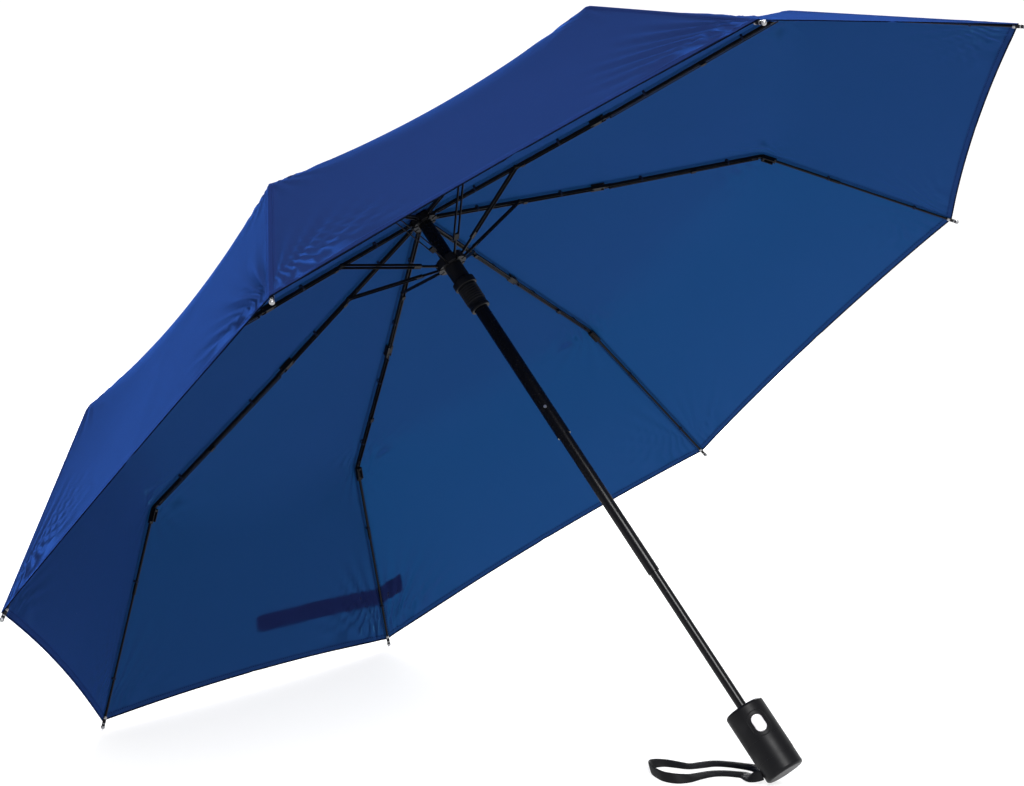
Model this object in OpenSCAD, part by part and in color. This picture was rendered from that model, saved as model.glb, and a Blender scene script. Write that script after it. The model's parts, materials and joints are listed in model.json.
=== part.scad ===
// Folding umbrella, open, lying on two rib tips and the end of its handle.
// Three-section ribs fold under a runner that slides on a three-tube telescopic shaft.
//
// Everything except the wrist strap is drawn in the shaft's own frame: +Z up the shaft
// with the crown at the top, and the origin on the shaft's axis at the notch. lay_down()
// then leans the whole umbrella over until it rests on the floor at z = 0.

/* [Ribs] */
// Inner rib section, pivot to pivot
inner_len = 168.5; // [164:0.5:172]
// Slope of the inner section below level
inner_slope = 9.8; // [9:0.1:11]
// Middle rib section, pivot to pivot
middle_len = 169.5; // [165:0.5:173]
// Slope of the middle section below level
middle_slope = 8.8; // [8:0.1:10]
// Outer rib section, knee to tip
outer_len = 193; // [185:1:200]
// Slope of the outer section below level
outer_slope = 42.5; // [41:0.5:45]
// Width of a rib's channel
rib_w = 3.4; // [3.2:0.1:3.6]
// Height of a rib's channel
rib_h = 2.8; // [2.6:0.1:3]
// Wall of a rib's channel
rib_wall = 0.6; // [0.5:0.1:0.7]
// Distance along the inner rib from the notch to the stretcher
stretcher_at = 84; // [82:0.5:86]

/* [Canopy] */
// Thickness of the canopy sheet
cloth_t = 0.6; // [0.5:0.1:0.7]
// How far the hem curves in between two tips
hem_scallop = 6; // [2:1:10]
// How far tension pulls a gore in between two ribs
gore_dish = 5; // [0:0.5:6]
// Length of the tie band
tie_len = 195; // [170:5:200]
// Width of the tie band
tie_w = 18; // [14:1:20]

/* [Shaft] */
// Outer radius of the upper tube
upper_r = 6; // [6:0.1:6.1]
// Radial gap between one tube and the next
tube_gap = 0.35; // [0.3:0.01:0.4]
// Wall of each tube
tube_wall = 0.65; // [0.6:0.01:0.68]
// Lower end of the upper tube, below the notch
upper_end = 228; // [226:1:232]
// Lower end of the middle tube, below the notch
middle_end = 364; // [360:1:368]
// How much of each tube stays inside the next when extended
tube_grip = 40; // [30:1:45]

/* [Runner] */
// Height of the stretcher pivots below the notch when open
runner_drop = 46.5; // [46:0.5:48]
// Length of the runner below its pivots
runner_len = 49.5; // [46:0.5:50]
// Radius of the ring of stretcher pivots
runner_pivot_r = 11; // [11:0.1:11.2]
// Outer radius of the runner's head
runner_head_r = 13; // [12.8:0.1:13.5]

/* [Handle] */
// Top of the handle below the notch
handle_top = 493.5; // [490:0.5:500]
// Length of the handle
handle_len = 60; // [58:1:66]
// Radius of the handle
handle_r = 16.5; // [16:0.1:17]
// Rounding of the handle's ends
handle_round = 2.5; // [1.5:0.1:3]
// Direction that the button faces around the shaft
button_turn = -40; // [-60:5:-20]
// Middle of the button below the handle's top
button_drop = 18.5; // [17:0.5:20]
// Height of the end cap below the handle's shell
cap_len = 14; // [12:0.5:16]

/* [Hidden] */
$fn = 48;
rib_count = 8;
rib_step = 360 / rib_count;
half_gore = rib_step / 2;
first_rib = half_gore;

// Names shared by the gores and the four members of each rib.
inner_names = [for (k = [1 : rib_count]) str("inner_rib_", k)];
middle_names = [for (k = [1 : rib_count]) str("middle_rib_", k)];
outer_names = [for (k = [1 : rib_count]) str("outer_rib_", k)];
stretcher_names = [for (k = [1 : rib_count]) str("stretcher_", k)];
gore_names = [for (k = [1 : rib_count]) str("canopy_gore_", k)];

// Colours.
frame_black = [0.09, 0.09, 0.10];
plastic_black = [0.06, 0.06, 0.07];
shaft_black = [0.16, 0.16, 0.17];
silver = [0.80, 0.81, 0.83];
cloth_blue = [0.13, 0.26, 0.50];

// A point x along and z above a line that starts at o and slopes down by a.
function on_line(o, a, x, z) = o + x * [cos(a), -sin(a)] + z * [sin(a), cos(a)];

// Hinge geometry in the plane of a rib, as [radius, height].
pin_r = 0.6;
pin_play = 0.08;
joint_lift = 2;         // joint pivot above both ribs' middle lines
knee_drop = 3;          // knee pivot below the middle rib's line
knee_lift = 2;          // outer rib's line above the knee pivot
notch_pivot = [9, -1];
joint_pivot = on_line(notch_pivot, inner_slope, inner_len, joint_lift);
middle_start = on_line(joint_pivot, middle_slope, 0, -joint_lift);
knee_pivot = on_line(middle_start, middle_slope, middle_len, -knee_drop);
outer_start = on_line(knee_pivot, outer_slope, 0, knee_lift);
tip = on_line(outer_start, outer_slope, outer_len, 0);
stretcher_pivot = on_line(notch_pivot, inner_slope, stretcher_at, 0);
runner_pivot = [runner_pivot_r, -runner_drop];
stretcher_len = norm(stretcher_pivot - runner_pivot);
stretcher_turn = 180 - atan2(stretcher_pivot.y - runner_pivot.y, stretcher_pivot.x - runner_pivot.x);

// Resting pose: a line under the handle's lower edge and under the two lowest tips.
tip_ball_r = 1.9;
handle_end = handle_top + handle_len;
cap_r = handle_r - 0.2;
handle_edge = [handle_round - cap_r, handle_round - handle_end];
tip_centre = [-tip.x * cos(half_gore), tip.y];
to_edge = handle_edge - tip_centre;
lean = asin((handle_round - tip_ball_r) / norm(to_edge)) - atan2(to_edge.y, to_edge.x);
floor_drop = tip_centre.x * sin(lean) + tip_centre.y * cos(lean) - tip_ball_r;
far_low = tip_centre.x * cos(lean) - tip_centre.y * sin(lean) - tip_ball_r;
far_high = max(tip.x * cos(half_gore) * cos(lean) - tip.y * sin(lean) + tip_ball_r,
               cap_r * cos(lean) + handle_end * sin(lean));
middle_x = (far_low + far_high) / 2;

// Shaft radii, each tube inside the one above.
middle_r = upper_r - tube_wall - tube_gap;
lower_r = middle_r - tube_wall - tube_gap;
bore_play = 0.35;
crown_top = 9;

// Washer and cap over the crown.
washer_r = 12.5;
washer_base = 3.8;
washer_t = 0.8;
cap_h = 10;

// Stretcher.
fork_gap = 0.25;
fork_t = 0.5;
fork_len = 64;
fork_end = 70;
blade_w = 1.2;

// Canopy lines: how far the sheet's inner face stands above the ribs.
cloth_lift = 4;
tip_lift = 1.7;
tip_show = 5;
seam_gap = 0.1;

// Height of the lower tube's end above the handle's end.
tube_seat = 17;

// Button.
button_r = 4.7;
button_half = 2.8;
button_base = 13;
button_face = 16.3;
bezel_r = 7.5;
bezel_back = 11.5;
bezel_floor = 1;
line_drop = 30;         // lower edge of the fine line round the handle
line_w = 0.5;

// Strap: a flat braid that leaves the handle, lies on the floor in a loop and comes back.
// Each point of its route has the tilt of the braid, from 0 flat to 90 on its edge.
strap_w = 8;
strap_t = 1.4;
strap_route = [
    [221.5, -12.5, 8.4, 85], [217, -13.5, 6.6, 76], [211, -13, 4.9, 56], [204.5, -8, 3.4, 36],
    [198, -3.5, 2.5, 24], [190, -4, 2.1, 20], [182, -7, 2.1, 20], [175, -14, 2.3, 22],
    [171, -25, 2.6, 28], [169, -37, 3.4, 45], [163, -45, 4.1, 68], [152, -46, 4.2, 84],
    [141, -41, 4.1, 90], [132, -35, 4.2, 96], [126, -28, 4.1, 112], [123, -19, 3.7, 128],
    [128, -11, 2.9, 146], [139, -8, 2.4, 156], [148, -6, 2.2, 160], [154, 2, 2.2, 158],
    [160, 11, 2.2, 158], [170, 16, 2.1, 160], [183, 18, 2.2, 158], [195, 17, 2.7, 150],
    [205, 11, 3.4, 136], [211, 3, 4.6, 118], [214, -4, 6, 102], [218.5, -8.2, 8, 95]];

// The whole umbrella, leaning on the floor.
module lay_down()
    translate([-middle_x, 0, -floor_drop]) rotate([0, -lean, 0]) children();

// Turns what is drawn in the XZ plane to the plane of rib k.
module rib_plane(k)
    rotate([0, 0, first_rib + rib_step * (k - 1)]) children();

// A member's own frame: +X along it from its start, +Z towards the canopy.
module member(start, slope)
    translate([start.x, 0, start.y]) rotate([0, slope, 0]) children();

// A round piece across a member, at x along and z above its line.
module cross_round(x, z, r, w)
    translate([x, 0, z]) rotate([90, 0, 0]) cylinder(r = r, h = w, center = true);

// A block along a member from x0 to x1, from z0 to z1, with the width w.
module block(x0, x1, z0, z1, w)
    translate([x0, -w / 2, z0]) cube([x1 - x0, w, z1 - z0]);

// A round bar along a member.
module bar(x0, x1, z, r)
    translate([x0, 0, z]) rotate([0, 90, 0]) cylinder(r = r, h = x1 - x0);

// A pressed channel, open on its underside.
module channel(x0, x1, w, h)
    difference() {
        block(x0, x1, -h / 2, h / 2, w);
        block(x0 - 1, x1 + 1, -h / 2 - 1, h / 2 - rib_wall, w - 2 * rib_wall);
    }

// Two ears that straddle the next member's end.
module ears(x0, x1, z0, z1, w)
    for (side = [-1, 1])
        translate([x0, side * (w / 2 - 0.35) - 0.35, z0]) cube([x1 - x0, 0.7, z1 - z0]);

ear_w = rib_w + 1.8;

module inner_rib(k)
    color(frame_black)
        lay_down() rib_plane(k) member(notch_pivot, inner_slope)
            difference() {
                union() {
                    // Eye and pin in the notch.
                    cross_round(0, 0, 1.5, 1.4);
                    cross_round(0, 0, pin_r, 4.4);
                    block(0, 6, -1.2, 1.2, 1.4);
                    channel(4.9, inner_len - 3, rib_w, rib_h);
                    // Joint bracket with its two ears.
                    block(inner_len - 12, inner_len - 2.4, -1.6, 1.6, ear_w);
                    ears(inner_len - 12, inner_len + 1.4, -1.6, joint_lift + 1.2, ear_w);
                    // Control wire on the underside.
                    bar(stretcher_at + 5, inner_len - 10, -1.9, 0.45);
                    block(stretcher_at + 4, stretcher_at + 8, -2.3, -rib_h / 2 + 0.9, rib_w);
                }
                cross_round(stretcher_at, 0, pin_r + pin_play, ear_w);
                cross_round(inner_len, joint_lift, pin_r + pin_play, 2 * ear_w);
            }

module middle_rib(k)
    color(frame_black)
        lay_down() rib_plane(k) member(middle_start, middle_slope) {
            difference() {
                union() {
                    // Tongue and pin at the joint.
                    cross_round(0, joint_lift, 1.2, 3);
                    block(-0.8, 8, -0.9, joint_lift - 0.2, 3);
                    channel(2, middle_len - 2, rib_w - 0.4, rib_h - 0.2);
                    // Knee block with its tongue below the rib.
                    block(middle_len - 12, middle_len - 0.8, -1.5, 1.4, 3);
                    block(middle_len - 1.5, middle_len + 1, -knee_drop, 1, 3);
                    cross_round(middle_len, -knee_drop, 1.5, 3);
                    // Clip that holds the control wire.
                    block(middle_len * 0.54, middle_len * 0.54 + 5, -3.2, 0.2, rib_w);
                }
                cross_round(middle_len, -knee_drop, pin_r + pin_play, 4);
            }
            cross_round(0, joint_lift, pin_r, ear_w);
            // Control wire under the rib, bent up at both ends.
            bar(6, middle_len - 6, -2.6, 0.45);
            block(5.5, 6.6, -3, -0.8, 1.2);
            block(middle_len - 6.6, middle_len - 5.5, -3, -0.8, 1.2);
        }

module outer_rib(k)
    color(frame_black)
        lay_down() rib_plane(k) member(outer_start, outer_slope) {
            // Knee bracket, with its pin fixed in both ears.
            ears(-1.4, 10, -knee_lift - 1.4, 1.2, ear_w);
            block(2.6, 12, -1, 1.2, ear_w);
            cross_round(0, -knee_lift, pin_r, ear_w);
            bar(11, outer_len * 0.36, 0, 1.2);
            // Ferrule where the thin wire starts.
            bar(outer_len * 0.36 - 4, outer_len * 0.36 + 6, 0, 1.5);
            bar(outer_len * 0.36, outer_len - 4, 0, 1);
            // Tip cap.
            bar(outer_len - 9, outer_len, 0, 1.5);
            translate([outer_len, 0, 0]) sphere(r = tip_ball_r);
        }

module stretcher(k)
    color(frame_black)
        lay_down() rib_plane(k) member(stretcher_pivot, stretcher_turn)
            union() {
                // Fork that straddles the inner rib, with the rivet through both.
                fork_w = rib_w + 2 * fork_gap + 2 * fork_t;
                for (side = [-1, 1])
                    translate([0, side * (fork_w - fork_t) / 2, 0]) {
                        rotate([90, 0, 0]) cylinder(r = 1.6, h = fork_t, center = true);
                        block(0, fork_end, -1.1, 1.1, fork_t);
                    }
                cross_round(0, 0, pin_r, fork_w);
                block(fork_len, fork_end, -1, 1, fork_w);
                // Blade and eye at the runner.
                block(fork_len, stretcher_len, -1, 1, blade_w);
                cross_round(stretcher_len, 0, 1.3, blade_w);
            }

// Stations of the canopy along a rib, as [radius, height] of the sheet's inner face.
inner_stations = [for (x = [-2, 45, 90, 130, inner_len])
    on_line(notch_pivot, inner_slope, x, cloth_lift)];
middle_stations = [for (f = [0.33, 0.66, 0.92])
    on_line(middle_start, middle_slope, f * middle_len, cloth_lift)];
knee_station = on_line(middle_start, middle_slope, middle_len + 1, cloth_lift - 0.2);
outer_stations = [for (f = [0.09, 0.3, 0.52, 0.76, 1])
    on_line(outer_start, outer_slope, f * (outer_len - tip_show),
            cloth_lift + f * (tip_lift - cloth_lift))];
stations = concat(inner_stations, middle_stations, [knee_station], outer_stations);
rows = len(stations);
cols = 7;

// One point of a gore in its own frame, +X along the middle of the gore: row i, across u
// from -1 at one rib to 1 at the next, and lifted off the inner face.
function gore_point(i, u, lift) =
    let (mid = 1 - u * u,
         last = i == rows - 1,
         here = stations[i],
         back = last ? hem_scallop * mid : 0,
         pulled = on_line(here, outer_slope, -back, 0),
         share = i / (rows - 1),
         dish = gore_dish * mid * sin(180 * share),
         level = lift - dish,
         slope = i > len(inner_stations) + len(middle_stations) ? outer_slope : middle_slope,
         p = on_line(pulled, slope, 0, level))
    [p.x * cos(half_gore), u * (pulled.x * sin(half_gore) - seam_gap), p.y];

// A closed sheet between two grids of points, each given row by row.
module sheet(outer, inner, n_rows, n_cols) {
    count = n_rows * n_cols;
    function at(i, j) = i * n_cols + j;
    tops = [for (i = [0 : n_rows - 2]) for (j = [0 : n_cols - 2])
        for (f = [[at(i, j), at(i + 1, j), at(i + 1, j + 1)], [at(i, j), at(i + 1, j + 1), at(i, j + 1)]]) f];
    unders = [for (f = tops) [f[0] + count, f[2] + count, f[1] + count]];
    rim = concat(
        [for (j = [0 : n_cols - 1]) at(0, j)],
        [for (i = [1 : n_rows - 1]) at(i, n_cols - 1)],
        [for (j = [n_cols - 2 : -1 : 0]) at(n_rows - 1, j)],
        [for (i = [n_rows - 2 : -1 : 1]) at(i, 0)]);
    sides = [for (n = [0 : len(rim) - 1])
        let (a = rim[n], b = rim[(n + 1) % len(rim)])
        for (f = [[a, b, b + count], [a, b + count, a + count]]) f];
    polyhedron(points = concat(outer, inner), faces = concat(tops, unders, sides));
}

module canopy_gore(k) {
    spread = [for (j = [0 : cols - 1]) -1 + 2 * j / (cols - 1)];
    outer = [for (i = [0 : rows - 1]) for (u = spread) gore_point(i, u, cloth_t)];
    inner = [for (i = [0 : rows - 1]) for (u = spread) gore_point(i, u, 0)];
    color(cloth_blue)
        lay_down() rib_plane(k) rotate([0, 0, half_gore]) sheet(outer, inner, rows, cols);
}

// The tie band is sewn to the seam over rib 4 and lies across the gore below it.
tie_rib = 4;
tie_rise = 48;          // its middle line above the hem, along the rib
tie_past = 26;          // what shows past the seam
tie_t = 0.8;
tie_gap = 1.1;
tie_steps = 8;

// A point on the outside of the gore on one side of rib 4, dist across from the seam.
function tie_point(side, dist, rise, lift) =
    let (f = 1 - rise / (outer_len - tip_show),
         here = on_line(outer_start, outer_slope, f * (outer_len - tip_show), 0),
         u = 1 - dist / (here.x * sin(half_gore)),
         share = (rows - 1 - rise / 45) / (rows - 1),
         dish = gore_dish * (1 - u * u) * sin(180 * share),
         skin = cloth_lift + f * (tip_lift - cloth_lift) + cloth_t - dish + lift,
         p = on_line(here, outer_slope, 0, skin),
         x = p.x * cos(half_gore),
         y = side * u * here.x * sin(half_gore),
         turn = -side * half_gore)
    [x * cos(turn) - y * sin(turn), x * sin(turn) + y * cos(turn), p.y];

module tie_band() {
    across = concat(
        [for (n = [0 : 1]) [1, tie_past * (1 - n) + 2 * n]],
        [for (n = [0 : tie_steps]) [-1, 2 + (tie_len - tie_past - 2) * n / tie_steps]]);
    function grid(lift) = [for (a = across) for (w = [0.5, -0.5])
        tie_point(a[0], a[1], tie_rise + w * tie_w, lift)];
    color(plastic_black)
        lay_down() rib_plane(tie_rib)
            sheet(grid(tie_gap + tie_t), grid(tie_gap), len(across), 2);
}

module top_notch()
    color(plastic_black)
        lay_down() difference() {
            translate([0, 0, -4.5]) cylinder(r = 11.5, h = 5.9);
            translate([0, 0, -10]) cylinder(r = upper_r, h = 20);
            for (k = [1 : rib_count])
                rib_plane(k) {
                    block(7.2, 13, -6, 0.7, 2);
                    cross_round(notch_pivot.x, notch_pivot.y, pin_r + pin_play, 4.8);
                }
        }

module crown_washer()
    color(cloth_blue)
        lay_down() difference() {
            translate([0, 0, washer_base]) cylinder(r = washer_r, h = washer_t);
            translate([0, 0, washer_base - 1]) cylinder(r = upper_r, h = 4);
        }

// Domed cap with a blind bore for the top of the tube.
module crown_cap() {
    base = washer_base + washer_t;
    color(plastic_black)
        lay_down() difference() {
            rotate_extrude() {
                translate([0, base]) square([10.5, 2.5]);
                translate([0, base]) square([8, cap_h]);
                translate([8, base + 2.5]) intersection() {
                    circle(r = 2.5);
                    square(3);
                }
                translate([0, base + cap_h]) square([5.5, 2.5]);
                translate([5.5, base + cap_h]) intersection() {
                    circle(r = 2.5);
                    square(3);
                }
            }
            translate([0, 0, base - 1]) cylinder(r = upper_r, h = crown_top - base + 1.2);
        }
}

// A tube between two depths below the notch.
module tube(r, from, to)
    lay_down() difference() {
        translate([0, 0, -to]) cylinder(r = r, h = to - from);
        translate([0, 0, -to - 1]) cylinder(r = r - tube_wall, h = to - from + 2);
    }

rivet_at = 200;
rivet_r = 1.3;
rivet_turn = -55;

module upper_tube()
    color(shaft_black) tube(upper_r, -crown_top, upper_end);

// Rivet head on the tube, which keys the runner's groove.
module guide_rivet()
    color(silver) lay_down() difference() {
        rotate([0, 0, rivet_turn]) translate([upper_r - 1, 0, -rivet_at])
            rotate([0, 90, 0]) cylinder(r = rivet_r, h = 1.8);
        translate([0, 0, -rivet_at - 5]) cylinder(r = upper_r, h = 10);
    }

module middle_tube()
    color(shaft_black) tube(middle_r, upper_end - tube_grip, middle_end);

module lower_tube()
    color(shaft_black) tube(lower_r, middle_end - tube_grip, handle_end - tube_seat);

// A stop ring inside the top end of a sliding tube.
module stop_ring(r, top)
    color(silver) lay_down() difference() {
        translate([0, 0, -top - 6]) cylinder(r = r - tube_wall, h = 6);
        translate([0, 0, -top - 7]) cylinder(r = r - tube_wall - 0.5, h = 8);
    }

module middle_stop()
    stop_ring(middle_r, upper_end - tube_grip);

module lower_stop()
    stop_ring(lower_r, middle_end - tube_grip);

// Long opening spring inside the tubes, as its separate turns.
spring_r = 2.1;
spring_wire = 0.35;
spring_pitch = 12;

module shaft_spring()
    color(silver) lay_down()
        for (z = [20 : spring_pitch : handle_end - 25])
            translate([0, 0, -z]) rotate_extrude() translate([spring_r, 0]) circle(r = spring_wire, $fn = 16);

runner_body_r = 7.75;
key_w = 3.2;

// The bore of the runner, with the groove that the rivet runs in.
module runner_bore() {
    translate([0, 0, -runner_drop - runner_len - 1]) cylinder(r = upper_r + bore_play, h = runner_len + 10);
    rotate([0, 0, rivet_turn])
        translate([0, -key_w / 2, -runner_drop - runner_len - 1])
            cube([upper_r + 1.2, key_w, runner_len + 10]);
}

collar_top = 20;        // top of the collar below the pivots

module runner()
    color(plastic_black)
        lay_down() difference() {
            union() {
                translate([0, 0, -runner_drop - 3.5]) cylinder(r = runner_head_r, h = 7);
                translate([0, 0, -runner_drop - collar_top]) cylinder(r = runner_body_r, h = collar_top);
            }
            runner_bore();
            for (k = [1 : rib_count])
                rib_plane(k) block(9.2, 14, -runner_drop - 5, -runner_drop + 5, blade_w + 0.6);
        }

module runner_collar()
    color(plastic_black)
        lay_down() difference() {
            union() {
                translate([0, 0, -runner_drop - collar_top - 6]) cylinder(r = 10, h = 6);
                translate([0, 0, -runner_drop - runner_len]) cylinder(r = 8.3, h = runner_len - collar_top);
                translate([0, 0, -runner_drop - runner_len]) cylinder(r = 9, h = 3);
            }
            runner_bore();
        }

// A long-sided oval, with its long side along the shaft, drawn radially from x0 to x1.
module oval(r, x0, x1)
    translate([x0, 0, 0]) rotate([0, 90, 0]) linear_extrude(x1 - x0)
        union() {
            for (side = [-1, 1])
                translate([side * button_half, 0]) circle(r = r);
            translate([-button_half, -r]) square([2 * button_half, 2 * r]);
        }

// Moves what is drawn around +X to the button's place on the handle.
module button_place()
    rotate([0, 0, button_turn]) translate([0, 0, -handle_top - button_drop]) children();

module handle_shell()
    color(plastic_black)
        lay_down() difference() {
            translate([0, 0, -handle_end + cap_len]) rotate_extrude() {
                h = handle_len - cap_len;
                square([handle_r, h - handle_round]);
                square([handle_r - handle_round, h]);
                translate([handle_r - handle_round, h - handle_round]) intersection() {
                    circle(r = handle_round);
                    square(handle_round + 1);
                }
            }
            translate([0, 0, -handle_end]) cylinder(r = handle_r - 2.5, h = handle_len - 4);
            translate([0, 0, -handle_end]) cylinder(r = lower_r, h = handle_len + 1);
            button_place() oval(bezel_r, bezel_back - bezel_floor - 0.2, handle_r + 2);
            // Fine line where the coating's mask ends, below the button.
            translate([0, 0, -handle_top - line_drop]) rotate_extrude()
                translate([handle_r - 0.2, 0]) square([1, line_w]);
        }

module handle_cap()
    color(plastic_black)
        lay_down() difference() {
            union() {
                translate([0, 0, -handle_end]) rotate_extrude() {
                    translate([0, handle_round]) square([cap_r, cap_len - handle_round]);
                    square([cap_r - handle_round, cap_len]);
                    translate([cap_r - handle_round, handle_round]) intersection() {
                        circle(r = handle_round);
                        translate([0, -handle_round]) square(handle_round);
                    }
                }
                translate([0, 0, -handle_end + cap_len]) cylinder(r = handle_r - 2.8, h = 4);
                translate([0, 0, -handle_end + cap_len]) cylinder(r = 7, h = 12);
            }
            translate([0, 0, -handle_end + tube_seat]) cylinder(r = lower_r, h = 20);
        }

module button_bezel()
    color(frame_black)
        lay_down() intersection() {
            button_place() difference() {
                oval(bezel_r, bezel_back - bezel_floor, handle_r + 1);
                oval(button_r + 0.3, bezel_back, handle_r + 2);
            }
            translate([0, 0, -handle_end]) cylinder(r = handle_r, h = handle_len);
        }

module push_button()
    color(silver)
        lay_down() intersection() {
            button_place() difference() {
                oval(button_r, button_base, button_face);
                // Shallow round dish for the thumb.
                translate([button_face + 11.5, 0, 0]) sphere(r = 12, $fn = 96);
            }
            translate([0, 0, -handle_end]) cylinder(r = button_face, h = handle_len);
        }

module button_spring()
    color(silver)
        lay_down() button_place()
            for (n = [0 : 1])
                translate([bezel_back + 0.35 + n * 0.75, 0, 0]) rotate([0, 90, 0])
                    rotate_extrude() translate([3, 0]) circle(r = 0.3, $fn = 16);

anchor_turn = 215;
anchor_up = 9;

// Lug on the cap's side that the strap is sewn through.
module strap_anchor()
    color(plastic_black)
        lay_down() difference() {
            rotate([0, 0, anchor_turn]) translate([handle_r - 3, 0, -handle_end + anchor_up])
                rotate([0, 90, 0]) cylinder(r = 3.2, h = 4.8);
            translate([0, 0, -handle_end]) cylinder(r = handle_r, h = handle_len);
        }

// A point of the route, the route's direction there, and the level direction across it.
function strap_spot(n) = [for (i = [0 : 2]) strap_route[n][i]];
function heading(n) =
    let (a = strap_spot(max(n - 1, 0)), b = strap_spot(min(n + 1, len(strap_route) - 1)))
    (b - a) / norm(b - a);
function level_across(t) = [t.y, -t.x, 0] / norm([t.y, -t.x]);

// The strap, swept along its route with a flat eight-sided section that tilts on the way.
module wrist_strap() {
    sides = 8;
    rings = len(strap_route);
    points = [for (n = [0 : rings - 1])
        let (t = heading(n), a = level_across(t), up = cross(a, t), tilt = strap_route[n][3],
             wide = a * cos(tilt) + up * sin(tilt), deep = up * cos(tilt) - a * sin(tilt))
        for (s = [0 : sides - 1])
            strap_spot(n) + wide * cos(360 * s / sides) * strap_w / 2
                + deep * sin(360 * s / sides) * strap_t / 2];
    walls = [for (n = [0 : rings - 2]) for (s = [0 : sides - 1])
        let (p = n * sides + s, q = n * sides + (s + 1) % sides)
        for (f = [[p, p + sides, q + sides], [p, q + sides, q]]) f];
    ends = [[for (s = [0 : sides - 1]) s],
            [for (s = [sides - 1 : -1 : 0]) (rings - 1) * sides + s]];
    color(plastic_black)
        polyhedron(points = points, faces = concat(walls, ends));
}

for (k = [1 : rib_count]) {
    inner_rib(k);
    middle_rib(k);
    outer_rib(k);
    stretcher(k);
    canopy_gore(k);
}
top_notch();
crown_washer();
crown_cap();
upper_tube();
guide_rivet();
middle_tube();
middle_stop();
lower_tube();
lower_stop();
shaft_spring();
runner();
runner_collar();
handle_shell();
handle_cap();
push_button();
button_bezel();
button_spring();
strap_anchor();
wrist_strap();
tie_band();
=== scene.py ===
"""Folding umbrella: cloth, strap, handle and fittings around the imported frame.

Lengths in the dataclasses are millimetres in the shaft's own frame, +Z up the shaft and the
origin at the notch. Shaft.matrix takes them to the row frame in metres.
"""

from __future__ import annotations

import json
import logging
import math
from dataclasses import dataclass, field
from enum import Enum
from typing import Iterable, Sequence

import bmesh
import bpy
from mathutils import Matrix, Vector

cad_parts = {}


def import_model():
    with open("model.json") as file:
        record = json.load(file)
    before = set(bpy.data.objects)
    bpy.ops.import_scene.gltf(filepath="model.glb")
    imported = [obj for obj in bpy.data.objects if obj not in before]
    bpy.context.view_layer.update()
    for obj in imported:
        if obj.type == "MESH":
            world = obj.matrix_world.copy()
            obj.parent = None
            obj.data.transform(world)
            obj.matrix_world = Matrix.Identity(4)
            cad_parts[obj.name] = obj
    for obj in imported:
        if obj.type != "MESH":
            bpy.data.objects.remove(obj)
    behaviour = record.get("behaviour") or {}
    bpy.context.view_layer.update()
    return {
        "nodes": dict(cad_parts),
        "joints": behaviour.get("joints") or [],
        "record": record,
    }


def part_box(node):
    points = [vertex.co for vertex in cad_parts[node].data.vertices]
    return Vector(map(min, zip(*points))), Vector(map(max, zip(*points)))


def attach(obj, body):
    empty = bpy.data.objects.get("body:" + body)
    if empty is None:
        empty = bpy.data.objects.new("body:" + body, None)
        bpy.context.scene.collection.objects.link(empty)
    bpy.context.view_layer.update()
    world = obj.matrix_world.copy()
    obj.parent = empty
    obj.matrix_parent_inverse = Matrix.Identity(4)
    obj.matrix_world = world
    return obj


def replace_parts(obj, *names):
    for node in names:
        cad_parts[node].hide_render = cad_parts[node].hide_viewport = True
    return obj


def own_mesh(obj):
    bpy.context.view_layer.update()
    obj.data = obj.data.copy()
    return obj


LOG = logging.getLogger("umbrella")
MM = 0.001
RIBS = range(1, 9)
RIB_STEP = 45.0
HALF_GORE = math.radians(RIB_STEP / 2)
Profile = Sequence[tuple[float, float]]


class Section(Enum):
    """The three lengths of a rib, which each carry their own part of the cloth."""

    INNER = "inner_rib"
    MIDDLE = "middle_rib"
    OUTER = "outer_rib"


class Slot(Enum):
    """The record's material slots."""

    FRAME = "frame_steel"
    SHAFT = "shaft_steel"
    BRIGHT = "bright_steel"
    PLASTIC = "black_plastic"
    GRIP = "grip_plastic"
    BUTTON = "button_plastic"
    CLOTH = "canopy_cloth"
    BRAID = "strap_braid"
    WEBBING = "tie_webbing"


# ---------------------------------------------------------------- shader maths


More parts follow.
